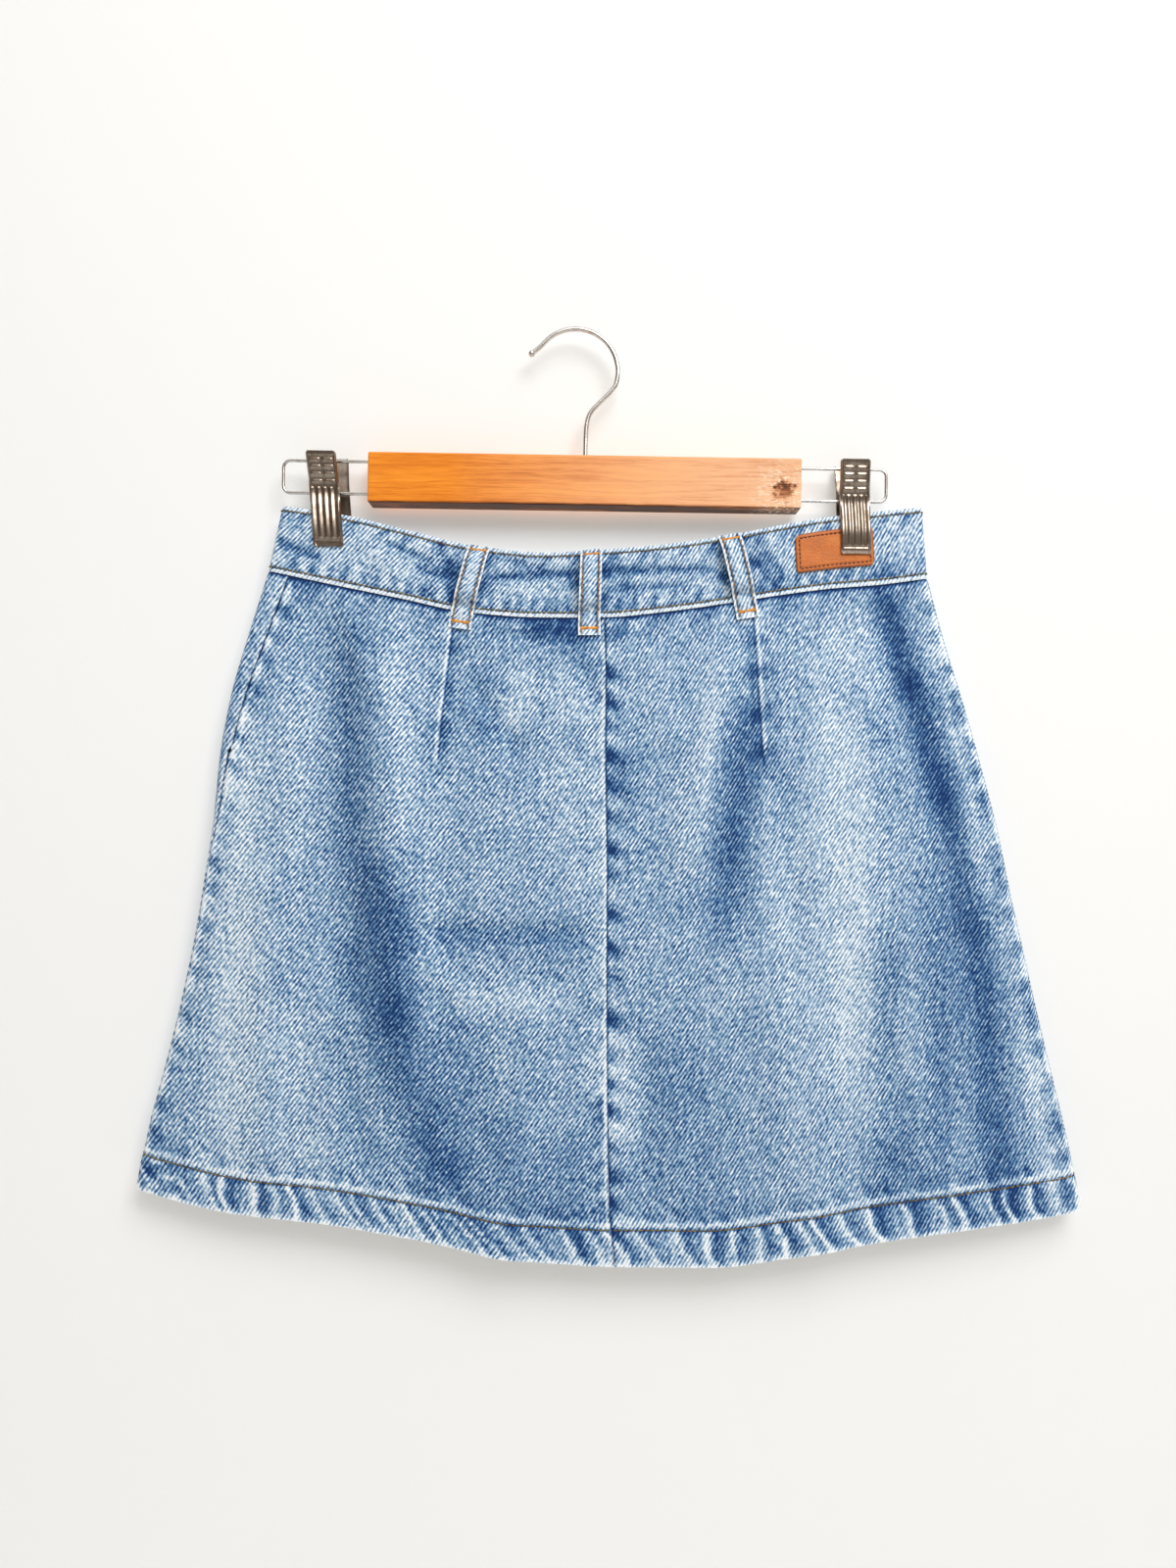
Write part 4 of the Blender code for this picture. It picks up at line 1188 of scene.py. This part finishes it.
def hook_path():
    centre = np.array((HOOK_CENTRE_X, HOOK_WIRE - HOOK_RADIUS))
    angles = np.radians(np.linspace(132.0, -20.0, 24))
    arc = [centre + HOOK_RADIUS * np.array((math.cos(t), math.sin(t))) for t in angles]
    tip = [np.array(p) * MM for p in reversed(HOOK_TIP)]
    shank = [np.array(p) * MM for p in HOOK_SHANK]
    foot = np.array((HOOK_SHANK[-1][0] * MM, BAR_TOP - SOCKET_DEPTH + GAP))
    flat = smooth_path(tip + arc + shank + [foot])
    return [np.array((p[0], 0.0, p[1])) for p in flat]


def rounded(corners, radius):
    path = [np.array(corners[0])]
    for before, here, after in zip(corners, corners[1:], corners[2:]):
        here = np.array(here)
        back = (np.array(before) - here) / np.linalg.norm(np.array(before) - here)
        ahead = (np.array(after) - here) / np.linalg.norm(np.array(after) - here)
        centre = here + (back + ahead) * radius
        for step in range(11):
            angle = step / 10 * math.pi / 2
            path.append(centre - ahead * radius * math.cos(angle)
                        - back * radius * math.sin(angle))
    path.append(np.array(corners[-1]))
    return path


def make_wires(finish):
    wire("hook_wire", "hook", hook_path(), HOOK_WIRE, finish, 4)
    tip_x, tip_z = HOOK_TIP[-1]
    angles = np.linspace(0.0, math.pi, 13)
    profile = tuple((-TIP_BALL * 1.1 * math.cos(a), TIP_BALL * math.sin(a)) for a in angles)
    revolve("hook_tip_ball", profile, ((tip_x + 0.6) * MM, 0.0, (tip_z + 0.5) * MM), 20,
            finish)
    for label, tip, bar in (("left", FRAME_LEFT, BAR_LEFT), ("right", FRAME_RIGHT, BAR_RIGHT)):
        inward = math.copysign(SOCKET_DEPTH - GAP, bar - tip)
        corners = ((bar + inward, 0.0, FRAME_TOP), (tip, 0.0, FRAME_TOP),
                   (tip, 0.0, FRAME_LOW), (bar + inward, 0.0, FRAME_LOW))
        wire("frame_wire_" + label, "wire_" + label, rounded(corners, FRAME_CORNER),
             FRAME_WIRE, finish, 4)


def jaw_press(aside, rise, facing):
    """The pressed pattern of a jaw: a rim, short ridges for the thumb and long flutes."""
    rim = 1.0 - ease((0.86 - np.abs(aside)) / 0.06) * ease((19.9 - rise) / 1.2)
    field = 1.0 - rim
    ridges = np.zeros_like(aside)
    if facing < 0:
        for level in THUMB_RIDGES:
            for middle in (-0.43, 0.43):
                ridges += hump((rise - level) / 0.85) * hump(((aside - middle) / 0.33) ** 3)
        flutes = 0.5 + 0.5 * np.cos(aside / 0.84 * math.pi * 4.0)
        span = ease((3.1 - rise) / 1.2) * ease((rise + 26.5) / 1.2)
        ridges += flutes * span * 0.9
    lip = ease((-26.7 - rise) / 1.0)
    return (0.60 * np.maximum(rim, lip * 0.7) + 0.62 * ridges * field) * MM


def jaw_faces(pivot_x, lean, facing, extra, grid):
    a, b = grid_shares(grid)
    levels, outs = np.array(JAW_ROWS).T
    rise = levels[0] + (levels[-1] - levels[0]) * b
    aside = (a - 0.5) * 2.0
    corner = np.maximum(np.abs(rise + 4.4) - 24.9, 0.0) / 1.2
    half = JAW_HALF_WIDTH - 0.6 * MM * corner * corner
    x = pivot_x * MM - rise * MM * lean + half * aside
    flare = extra * MM * ease(-rise / 20.0)
    base = curve(rise, levels, outs) * MM + flare
    fold = np.clip(base - 3.5 * MM - flare, 0.0, 1.3 * MM)
    fold = fold * ease((np.abs(aside) - 0.90) / 0.10)
    press = jaw_press(aside, rise, facing)
    z = FRAME_LOW + rise * MM
    outer = np.stack((x, facing * (base + JAW_SHEET - 0.4 * MM + press - fold), z), axis=-1)
    inner = np.stack((x, facing * (base - fold), z), axis=-1)
    return outer, inner


def coil_path(pivot_x):
    """The clip's spring: a close coil round the lower wire."""
    share = np.linspace(0.0, 1.0, SPRING_TURNS * 20 + 1)
    angle = share * math.tau * SPRING_TURNS
    radius = SPRING_RADIUS - SPRING_WIRE
    x = pivot_x * MM + (share - 0.5) * (SPRING_LENGTH - 2.0 * SPRING_WIRE)
    return np.stack((x, radius * np.cos(angle), FRAME_LOW + radius * np.sin(angle)), axis=-1)


def make_clips(finish):
    for name, pivot_x, lean, extra, aside in CLIPS:
        for label, facing, more, x, grid in (
                ("_front", -1, extra, pivot_x, FRONT_JAW_GRID),
                ("_back", 1, 0.0, pivot_x + aside, BACK_JAW_GRID)):
            node = name + label
            outer, inner = jaw_faces(x, lean, facing, more, grid)
            mesh = two_face_mesh(node + "_jaw", grid, outer, inner, 50.0)
            finished(node + "_jaw", mesh, finish, (node,))
        wire(name + "_coil", name + "_spring", coil_path(pivot_x), SPRING_WIRE, finish,
             2)


# ---------------------------------------------------------------- material nodes

def put(tree, kind, inputs=None, **settings):
    made = tree.nodes.new(kind)
    for key, value in settings.items():
        setattr(made, key, value)
    for key, value in (inputs or {}).items():
        feed(tree, made.inputs[key], value)
    return made


def feed(tree, socket, value):
    if isinstance(value, bpy.types.NodeSocket):
        tree.links.new(value, socket)
    else:
        socket.default_value = value


def maths(tree, operation, first, second=0.0, third=0.0, clamp=False):
    made = tree.nodes.new("ShaderNodeMath")
    made.operation = operation
    made.use_clamp = clamp
    for socket, value in zip(made.inputs, (first, second, third)):
        feed(tree, socket, value)
    return made.outputs[0]


def noise(tree, place, scale, detail=2.0, rough=0.5):
    made = put(tree, "ShaderNodeTexNoise", {"Vector": place, "Scale": scale,
                                            "Detail": detail, "Roughness": rough})
    return made.outputs["Fac"]


def stretched(tree, place, scale, turn=0.0):
    made = put(tree, "ShaderNodeMapping", {"Vector": place, "Scale": scale,
                                           "Rotation": (0.0, 0.0, turn)})
    return made.outputs["Vector"]


def streaks(tree, place, scale, detail=2.0, rough=0.5):
    """Noise drawn out along the piece, its scale given each way."""
    return noise(tree, stretched(tree, place, scale), 1.0, detail, rough)


def swayed(tree, tone, value, weight):
    """Tone moved up and down by a value that lies round a half."""
    return maths(tree, "MULTIPLY_ADD", maths(tree, "SUBTRACT", value, 0.5), weight, tone)


def between(tree, value, low, high, first=0.0, last=1.0):
    """The first level at low and under it, the last at high and over it."""
    made = put(tree, "ShaderNodeMapRange", {"Value": value, "From Min": low,
                                            "From Max": high, "To Min": first,
                                            "To Max": last})
    return made.outputs[0]


def blend(tree, share, first, second):
    """Two colours mixed by a share of the second."""
    made = put(tree, "ShaderNodeMix", {0: share, 6: first, 7: second}, data_type="RGBA")
    return made.outputs[2]


def emboss(tree, shader, height, strength, distance):
    bump = put(tree, "ShaderNodeBump", {"Height": height, "Strength": strength,
                                        "Distance": distance})
    feed(tree, shader.inputs["Normal"], bump.outputs["Normal"])


def ramp(tree, value, stops):
    made = put(tree, "ShaderNodeValToRGB", {"Fac": value})
    points = made.color_ramp.elements
    while len(points) < len(stops):
        points.new(0.5)
    for point, (place, colour) in zip(points, stops):
        point.position = place
        point.color = (*colour, 1.0)
    return made.outputs["Color"]


def new_group(name, inputs, outputs):
    tree = bpy.data.node_groups.new(name, "ShaderNodeTree")
    for label, kind, value in inputs:
        socket = tree.interface.new_socket(name=label, in_out="INPUT", socket_type=kind)
        if value is not None:
            socket.default_value = value
    for label, kind in outputs:
        tree.interface.new_socket(name=label, in_out="OUTPUT", socket_type=kind)
    return tree, tree.nodes.new("NodeGroupInput"), tree.nodes.new("NodeGroupOutput")


NUMBER = "NodeSocketFloat"
ARROW = "NodeSocketVector"
PAINT = "NodeSocketColor"

DENIM_RAMP = (
    (0.00, (0.003, 0.024, 0.110)),
    (0.22, (0.020, 0.082, 0.240)),
    (0.42, (0.092, 0.205, 0.360)),
    (0.60, (0.255, 0.390, 0.540)),
    (0.78, (0.490, 0.600, 0.720)),
    (1.00, (0.830, 0.865, 0.890)),
)


def denim_group():
    """Faded twill: slanting ribs, pepper, streaks and worn ridges, with dark blots of wear and
    painted shade in creases, hollows, under the band and beside the loops.
    """
    tree, given, out = new_group(
        "faded_twill",
        (("Place", ARROW, None), ("DarkWearAndShade", NUMBER, 0.0), ("Pale", NUMBER, 0.0),
         ("WashAndShade", NUMBER, 0.0), ("Inside", NUMBER, 0.0), ("Fade", NUMBER, 0.55)),
        (("Color", PAINT), ("Height", NUMBER), ("Roughness", NUMBER)))
    place = given.outputs["Place"]
    twist = noise(tree, place, 260.0, 2.0)
    slanted = stretched(tree, place, (1.0, 1.0, 1.0), math.radians(TWILL_SLANT))
    split = put(tree, "ShaderNodeSeparateXYZ", {"Vector": slanted})
    phase = maths(tree, "MULTIPLY", split.outputs["X"], math.tau / TWILL_PITCH)
    phase = maths(tree, "ADD", phase, maths(tree, "MULTIPLY", twist, 2.0))
    rib = maths(tree, "MULTIPLY_ADD", maths(tree, "SINE", phase), 0.5, 0.5)
    pepper = streaks(tree, slanted, (700.0, 260.0, 1.0), 0.0)
    grain = streaks(tree, place, (640.0, 600.0, 1.0), 0.0)
    slub = streaks(tree, place, (420.0, 26.0, 1.0), 3.0, 0.6)
    patchy = streaks(tree, place, (95.0, 60.0, 1.0), 1.5)
    cloud = streaks(tree, place, (20.0, 12.0, 1.0))
    # The wash tone is partly the cloth's own fade and partly painted shade and light of the
    # folds.
    tone = maths(tree, "ADD", given.outputs["Fade"], given.outputs["WashAndShade"])
    for value, weight in ((rib, 0.50), (pepper, 0.72), (grain, 0.58), (slub, 0.14),
                          (patchy, 0.24), (cloud, 0.12)):
        tone = swayed(tree, tone, value, weight)
    # Darkening from real wear and from painted shade in creases, hollows, under the band and
    # beside the loops.
    blot = maths(tree, "MULTIPLY", given.outputs["DarkWearAndShade"],
                 maths(tree, "MULTIPLY_ADD", patchy, 0.9, 0.25))
    tone = maths(tree, "MULTIPLY_ADD", blot, -0.52, tone)
    tone = maths(tree, "MULTIPLY_ADD", given.outputs["Pale"], 0.34, tone)
    tone = maths(tree, "MULTIPLY_ADD", given.outputs["Inside"], 0.12, tone, clamp=True)
    feed(tree, out.inputs["Color"], ramp(tree, tone, DENIM_RAMP))
    height = maths(tree, "MULTIPLY_ADD", pepper, 0.6, maths(tree, "MULTIPLY", rib, 0.5))
    height = maths(tree, "MULTIPLY_ADD", grain, 0.7, height)
    feed(tree, out.inputs["Height"], height)
    feed(tree, out.inputs["Roughness"], maths(tree, "MULTIPLY_ADD", tone, 0.12, 0.80))
    return tree


def attribute(tree, name):
    return put(tree, "ShaderNodeAttribute", attribute_name=name).outputs["Fac"]


def new_material(name):
    made = bpy.data.materials.new(name)
    made.use_nodes = True
    tree = made.node_tree
    return made, tree, tree.nodes["Principled BSDF"]


def denim_material(name, twill, fade):
    made, tree, shader = new_material(name)
    cut = put(tree, "ShaderNodeUVMap", uv_map="cut").outputs["UV"]
    cloth = put(tree, "ShaderNodeGroup", node_tree=twill)
    feed(tree, cloth.inputs["Place"], cut)
    cloth.inputs["Fade"].default_value = fade
    for label, layer in (("DarkWearAndShade", "dark_wear_and_shade"), ("Pale", "pale"), ("WashAndShade", "wash"),
                         ("Inside", "inside")):
        feed(tree, cloth.inputs[label], attribute(tree, layer))
    feed(tree, shader.inputs["Base Color"], cloth.outputs["Color"])
    feed(tree, shader.inputs["Roughness"], cloth.outputs["Roughness"])
    emboss(tree, shader, cloth.outputs["Height"], 0.22, 0.5 * MM)
    shader.inputs["Specular IOR Level"].default_value = 0.15
    shader.inputs["Sheen Weight"].default_value = 0.12
    shader.inputs["Sheen Roughness"].default_value = 0.5
    return made


def object_place(tree):
    return put(tree, "ShaderNodeTexCoord").outputs["Object"]


def thread_material(name, dark, light):
    """Twisted sewing thread, uneven in tone along its run."""
    made, tree, shader = new_material(name)
    place = object_place(tree)
    tone = noise(tree, place, 420.0, 2.0)
    feed(tree, shader.inputs["Base Color"], ramp(tree, tone, ((0.32, dark), (0.68, light))))
    twist = streaks(tree, place, (3200.0, 3200.0, 1600.0), 1.0)
    emboss(tree, shader, twist, 0.5, 0.2 * MM)
    feed(tree, shader.inputs["Roughness"], maths(tree, "MULTIPLY_ADD", tone, 0.2, 0.55))
    return made


def leather_material():
    made, tree, shader = new_material("tan_leather")
    cut = put(tree, "ShaderNodeUVMap", uv_map="cut").outputs["UV"]
    cloud = noise(tree, cut, 90.0, 3.0)
    pore = put(tree, "ShaderNodeTexVoronoi", {"Vector": cut, "Scale": 900.0})
    scuff = streaks(tree, cut, (160.0, 700.0, 1.0), 3.0, 0.6)
    tone = swayed(tree, 0.56, swayed(tree, cloud, scuff, 0.22), 0.7)
    tone = maths(tree, "MULTIPLY_ADD", attribute(tree, "rim"), -0.38, tone)
    colour = ramp(tree, tone, ((0.10, (0.17, 0.040, 0.008)), (0.38, (0.42, 0.115, 0.022)),
                               (0.55, (0.53, 0.140, 0.018)), (0.85, (0.67, 0.225, 0.048))))
    feed(tree, shader.inputs["Base Color"], colour)
    feed(tree, shader.inputs["Roughness"], maths(tree, "MULTIPLY_ADD", cloud, 0.25, 0.48))
    height = maths(tree, "MULTIPLY_ADD", scuff, 0.5, pore.outputs["Distance"])
    emboss(tree, shader, height, 0.5, 0.4 * MM)
    return made


def metal_group():
    """Plated metal: fine scratches, dulled patches and small stains."""
    tree, given, out = new_group(
        "plated_wear", (("Place", ARROW, None), ("Light", PAINT, (0.7, 0.66, 0.6, 1.0)),
                        ("Dark", PAINT, (0.4, 0.34, 0.28, 1.0)), ("Rough", NUMBER, 0.2)),
        (("Color", PAINT), ("Roughness", NUMBER), ("Height", NUMBER)))
    place = given.outputs["Place"]
    dull = noise(tree, place, 160.0, 4.0, 0.6)
    scratch = streaks(tree, place, (2600.0, 900.0, 180.0), 2.0, 0.6)
    mask = swayed(tree, dull, scratch, 0.6)
    feed(tree, out.inputs["Color"], blend(tree, between(tree, mask, 0.38, 0.68),
                                          given.outputs["Light"], given.outputs["Dark"]))
    rough = maths(tree, "MULTIPLY_ADD", mask, 0.22, given.outputs["Rough"])
    feed(tree, out.inputs["Roughness"], rough)
    feed(tree, out.inputs["Height"], scratch)
    return tree


def metal_material(name, wear, light, dark, rough):
    made, tree, shader = new_material(name)
    finish = put(tree, "ShaderNodeGroup", node_tree=wear)
    feed(tree, finish.inputs["Place"], object_place(tree))
    finish.inputs["Light"].default_value = (*light, 1.0)
    finish.inputs["Dark"].default_value = (*dark, 1.0)
    finish.inputs["Rough"].default_value = rough
    feed(tree, shader.inputs["Base Color"], finish.outputs["Color"])
    feed(tree, shader.inputs["Roughness"], finish.outputs["Roughness"])
    emboss(tree, shader, finish.outputs["Height"], 0.15, 0.1 * MM)
    shader.inputs["Metallic"].default_value = 1.0
    return made


def wood_material():
    """Honey varnished wood with long fine grain, pores and one knot, with a painted shade on its
    underside and a painted sheen toward its right end.
    """
    made, tree, shader = new_material("honey_wood")
    place = object_place(tree)
    waver = streaks(tree, place, (9.0, 40.0, 60.0))
    split = put(tree, "ShaderNodeSeparateXYZ", {"Vector": place})
    level = swayed(tree, split.outputs["Z"], waver, 0.014)
    lifted = put(tree, "ShaderNodeCombineXYZ", {"X": split.outputs["X"],
                                                "Y": split.outputs["Y"], "Z": level})
    rings = streaks(tree, lifted.outputs[0], (6.0, 60.0, 620.0), 3.0, 0.6)
    pores = streaks(tree, place, (90.0, 900.0, 2600.0), 2.0, 0.6)
    broad = streaks(tree, place, (12.0, 30.0, 60.0))
    tone = swayed(tree, 0.5, rings, 0.5)
    tone = swayed(tree, tone, pores, 0.45)
    tone = swayed(tree, tone, broad, 0.50)
    reach = knot_reach(tree, split, place)
    tone = maths(tree, "SUBTRACT", tone, between(tree, reach, 0.35, 1.1, 0.40, 0.0))
    # The bar's underside is darkened as painted shade.
    under = between(tree, split.outputs["Z"], *BAR_UNDERSIDE_SHADE, 0.60, 0.0)
    tone = maths(tree, "SUBTRACT", tone, under)
    colour = ramp(tree, tone, ((0.02, (0.055, 0.014, 0.004)), (0.26, (0.42, 0.105, 0.006)),
                               (0.44, (0.70, 0.195, 0.010)), (0.58, (0.82, 0.265, 0.016)),
                               (0.85, (0.90, 0.36, 0.040))))
    # A painted sheen: the wood's colour turns paler toward the bar's right end.
    toward_right = between(tree, split.outputs["X"], *BAR_SHEEN_SPAN, 0.0, 0.75)
    painted_sheen = maths(tree, "MULTIPLY", toward_right, between(tree, tone, 0.1, 0.5))
    with_painted_sheen = blend(tree, painted_sheen, colour, (0.80, 0.555, 0.37, 1.0))
    scuffs = knot_scuffs(tree, reach, place)
    worn = blend(tree, scuffs, with_painted_sheen, (0.80, 0.66, 0.50, 1.0))
    feed(tree, shader.inputs["Base Color"], worn)
    feed(tree, shader.inputs["Roughness"], maths(tree, "MULTIPLY_ADD", pores, 0.15, 0.40))
    emboss(tree, shader, tone, 0.2, 0.3 * MM)
    shader.inputs["Specular IOR Level"].default_value = 0.22
    return made


def knot_reach(tree, split, place):
    """Uneven distance from the heart of the knot near the bar's right end, 1 at its edge."""
    wobble = maths(tree, "SUBTRACT", noise(tree, place, 260.0, 3.0, 0.6), 0.5)
    squares = []
    for axis, centre, radius in zip("XZ", KNOT_CENTRE, KNOT_RADII):
        away = maths(tree, "SUBTRACT", split.outputs[axis], centre)
        share = maths(tree, "DIVIDE", away, radius)
        squares.append(maths(tree, "MULTIPLY", share, share))
    square = maths(tree, "ADD", *squares)
    return maths(tree, "MULTIPLY_ADD", wobble, 2.2, maths(tree, "SQRT", square))


def knot_scuffs(tree, reach, place):
    """Pale scratches through the varnish around the knot."""
    lines = streaks(tree, place, (420.0, 420.0, 1500.0), 3.0, 0.7)
    ring = maths(tree, "MULTIPLY", between(tree, reach, 1.3, 2.4, 1.0, 0.0),
                 between(tree, reach, 0.55, 0.8))
    return maths(tree, "MULTIPLY", between(tree, lines, 0.52, 0.60), ring)


# ---------------------------------------------------------------- stage

def plain_material(name, colour, rough):
    made, tree, shader = new_material(name)
    tone = noise(tree, object_place(tree), 3.0, 2.0)
    light = tuple(min(1.0, part * 1.01) for part in colour)
    feed(tree, shader.inputs["Base Color"], ramp(tree, tone, ((0.3, colour), (0.7, light))))
    shader.inputs["Roughness"].default_value = rough
    return made


def wall_material():
    """Matte pale wall, seen from its front only, that lets light from behind reach the object. It
    glows warm by its own emission, a painted light that lifts and warms the shadows on it.
    """
    made = plain_material("pale_wall", (0.61, 0.62, 0.635), 0.95)
    tree = made.node_tree
    shader = tree.nodes["Principled BSDF"]
    # Painted light: a warm glow that lifts and warms the shadows on the wall.
    shader.inputs["Emission Color"].default_value = (0.265, 0.252, 0.222, 1.0)
    shader.inputs["Emission Strength"].default_value = 1.0
    shader.inputs["Specular IOR Level"].default_value = 0.0
    clear = put(tree, "ShaderNodeBsdfTransparent")
    behind = put(tree, "ShaderNodeNewGeometry").outputs["Backfacing"]
    shadow = put(tree, "ShaderNodeLightPath").outputs["Is Shadow Ray"]
    hidden = maths(tree, "MAXIMUM", behind, shadow)
    mixed = put(tree, "ShaderNodeMixShader", {0: hidden, 1: shader.outputs[0],
                                              2: clear.outputs[0]})
    feed(tree, tree.nodes["Material Output"].inputs["Surface"], mixed.outputs[0])
    return made


def make_stage():
    upright = Matrix.Rotation(math.pi / 2, 4, "X")
    wall_place = Matrix.Translation((0.0, WALL_Y, FLOOR_Z + WALL_SIZE / 2)) @ upright
    floor_place = Matrix.Translation((0.0, 0.0, FLOOR_Z))
    floor_finish = plain_material("pale_floor", (0.56, 0.56, 0.55), 0.8)
    for name, finish, size, place in (
            ("backdrop_wall", wall_material(), WALL_SIZE, wall_place),
            ("studio_floor", floor_finish, FLOOR_SIZE, floor_place)):
        bm = bmesh.new()
        bmesh.ops.create_grid(bm, x_segments=1, y_segments=1, size=size / 2)
        bmesh.ops.transform(bm, matrix=place, verts=bm.verts)
        link_object(name, closed_mesh(name, bm), finish)


def area_light(name, place, aim, size, power, colour):
    data = bpy.data.lights.new(name, "AREA")
    data.shape = "RECTANGLE"
    data.size = data.size_y = size
    data.energy = power
    data.color = colour
    made = bpy.data.objects.new(name, data)
    bpy.context.scene.collection.objects.link(made)
    look = np.array(aim) - np.array(place)
    back = -look / np.linalg.norm(look)
    right = np.cross((0.0, 0.0, 1.0), back)
    right = right / np.linalg.norm(right)
    up = np.cross(back, right)
    turn = Matrix([(*row, 0.0) for row in np.stack((right, up, back), axis=1)] + [(0, 0, 0, 1)])
    made.matrix_world = Matrix.Translation(place) @ turn


def make_light():
    """Soft lamps, and a dim warm room that the camera sees as pale."""
    for lamp in LAMPS:
        area_light(*lamp)
    world = bpy.data.worlds.new("studio")
    bpy.context.scene.world = world
    world.use_nodes = True
    tree = world.node_tree
    way = put(tree, "ShaderNodeTexCoord").outputs["Generated"]
    split = put(tree, "ShaderNodeSeparateXYZ", {"Vector": way})
    level = maths(tree, "MULTIPLY_ADD", split.outputs["Z"], 0.5, 0.5)
    level = maths(tree, "MULTIPLY_ADD", split.outputs["X"], 0.08, level)
    room = ramp(tree, level, ((0.00, (0.30, 0.27, 0.24)), (0.40, (0.20, 0.155, 0.12)),
                              (0.60, (0.26, 0.21, 0.17)), (0.70, (0.75, 0.74, 0.72)),
                              (1.00, (1.00, 1.00, 1.00))))
    seen = put(tree, "ShaderNodeLightPath").outputs["Is Camera Ray"]
    background = tree.nodes["Background"]
    feed(tree, background.inputs["Color"], blend(tree, seen, room, (1.12, 1.12, 1.11, 1.0)))
    background.inputs["Strength"].default_value = 0.75


def make_camera():
    data = bpy.data.cameras.new("camera")
    data.sensor_fit = "VERTICAL"
    data.sensor_height = 36.0
    data.lens = CAMERA_LENS
    data.clip_start = 0.05
    made = bpy.data.objects.new("camera", data)
    bpy.context.scene.collection.objects.link(made)
    made.matrix_world = (Matrix.Translation(CAMERA_PLACE)
                         @ Matrix.Rotation(math.pi / 2, 4, "X")
                         @ Matrix.Rotation(math.radians(CAMERA_ROLL), 4, "Z"))
    bpy.context.scene.camera = made


def carry_over_bar(finish):
    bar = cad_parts["wood_bar"]
    bar.data.materials.clear()
    bar.data.materials.append(finish)


def main():
    twill = denim_group()
    wear = metal_group()
    light_denim = denim_material("light_denim", twill, 0.55)
    band_denim = denim_material("band_denim", twill, 0.67)
    loop_denim = denim_material("loop_denim", twill, 0.73)
    olive = thread_material("olive_thread", (0.030, 0.024, 0.008), (0.26, 0.170, 0.050))
    tan = thread_material("tan_thread", (0.060, 0.038, 0.014), (0.38, 0.200, 0.055))
    orange = thread_material("orange_thread", (0.55, 0.180, 0.015), (0.88, 0.400, 0.045))
    rust = thread_material("rust_thread", (0.06, 0.012, 0.004), (0.20, 0.045, 0.014))
    nickel = metal_material("nickel_plate", wear, (0.35, 0.29, 0.24), (0.19, 0.145, 0.11), 0.22)
    steel = metal_material("steel_wire", wear, (0.72, 0.70, 0.67), (0.48, 0.44, 0.40), 0.16)
    brass = metal_material("aged_brass", wear, (0.62, 0.44, 0.22), (0.30, 0.20, 0.10), 0.28)
    panels = make_panels(light_denim)
    bands = make_waistband(band_denim)
    loops = make_loops(loop_denim)
    placket = make_placket(light_denim)
    make_band_thread(olive)
    make_hem_thread(olive)
    make_fly_thread(olive)
    make_loop_thread(tan, orange)
    make_patch(leather_material(), rust)
    make_button(brass)
    make_wires(steel)
    make_clips(nickel)
    carry_over_bar(wood_material())
    make_stage()
    make_light()
    make_camera()
    bpy.context.scene.view_settings.view_transform = "Standard"


main()
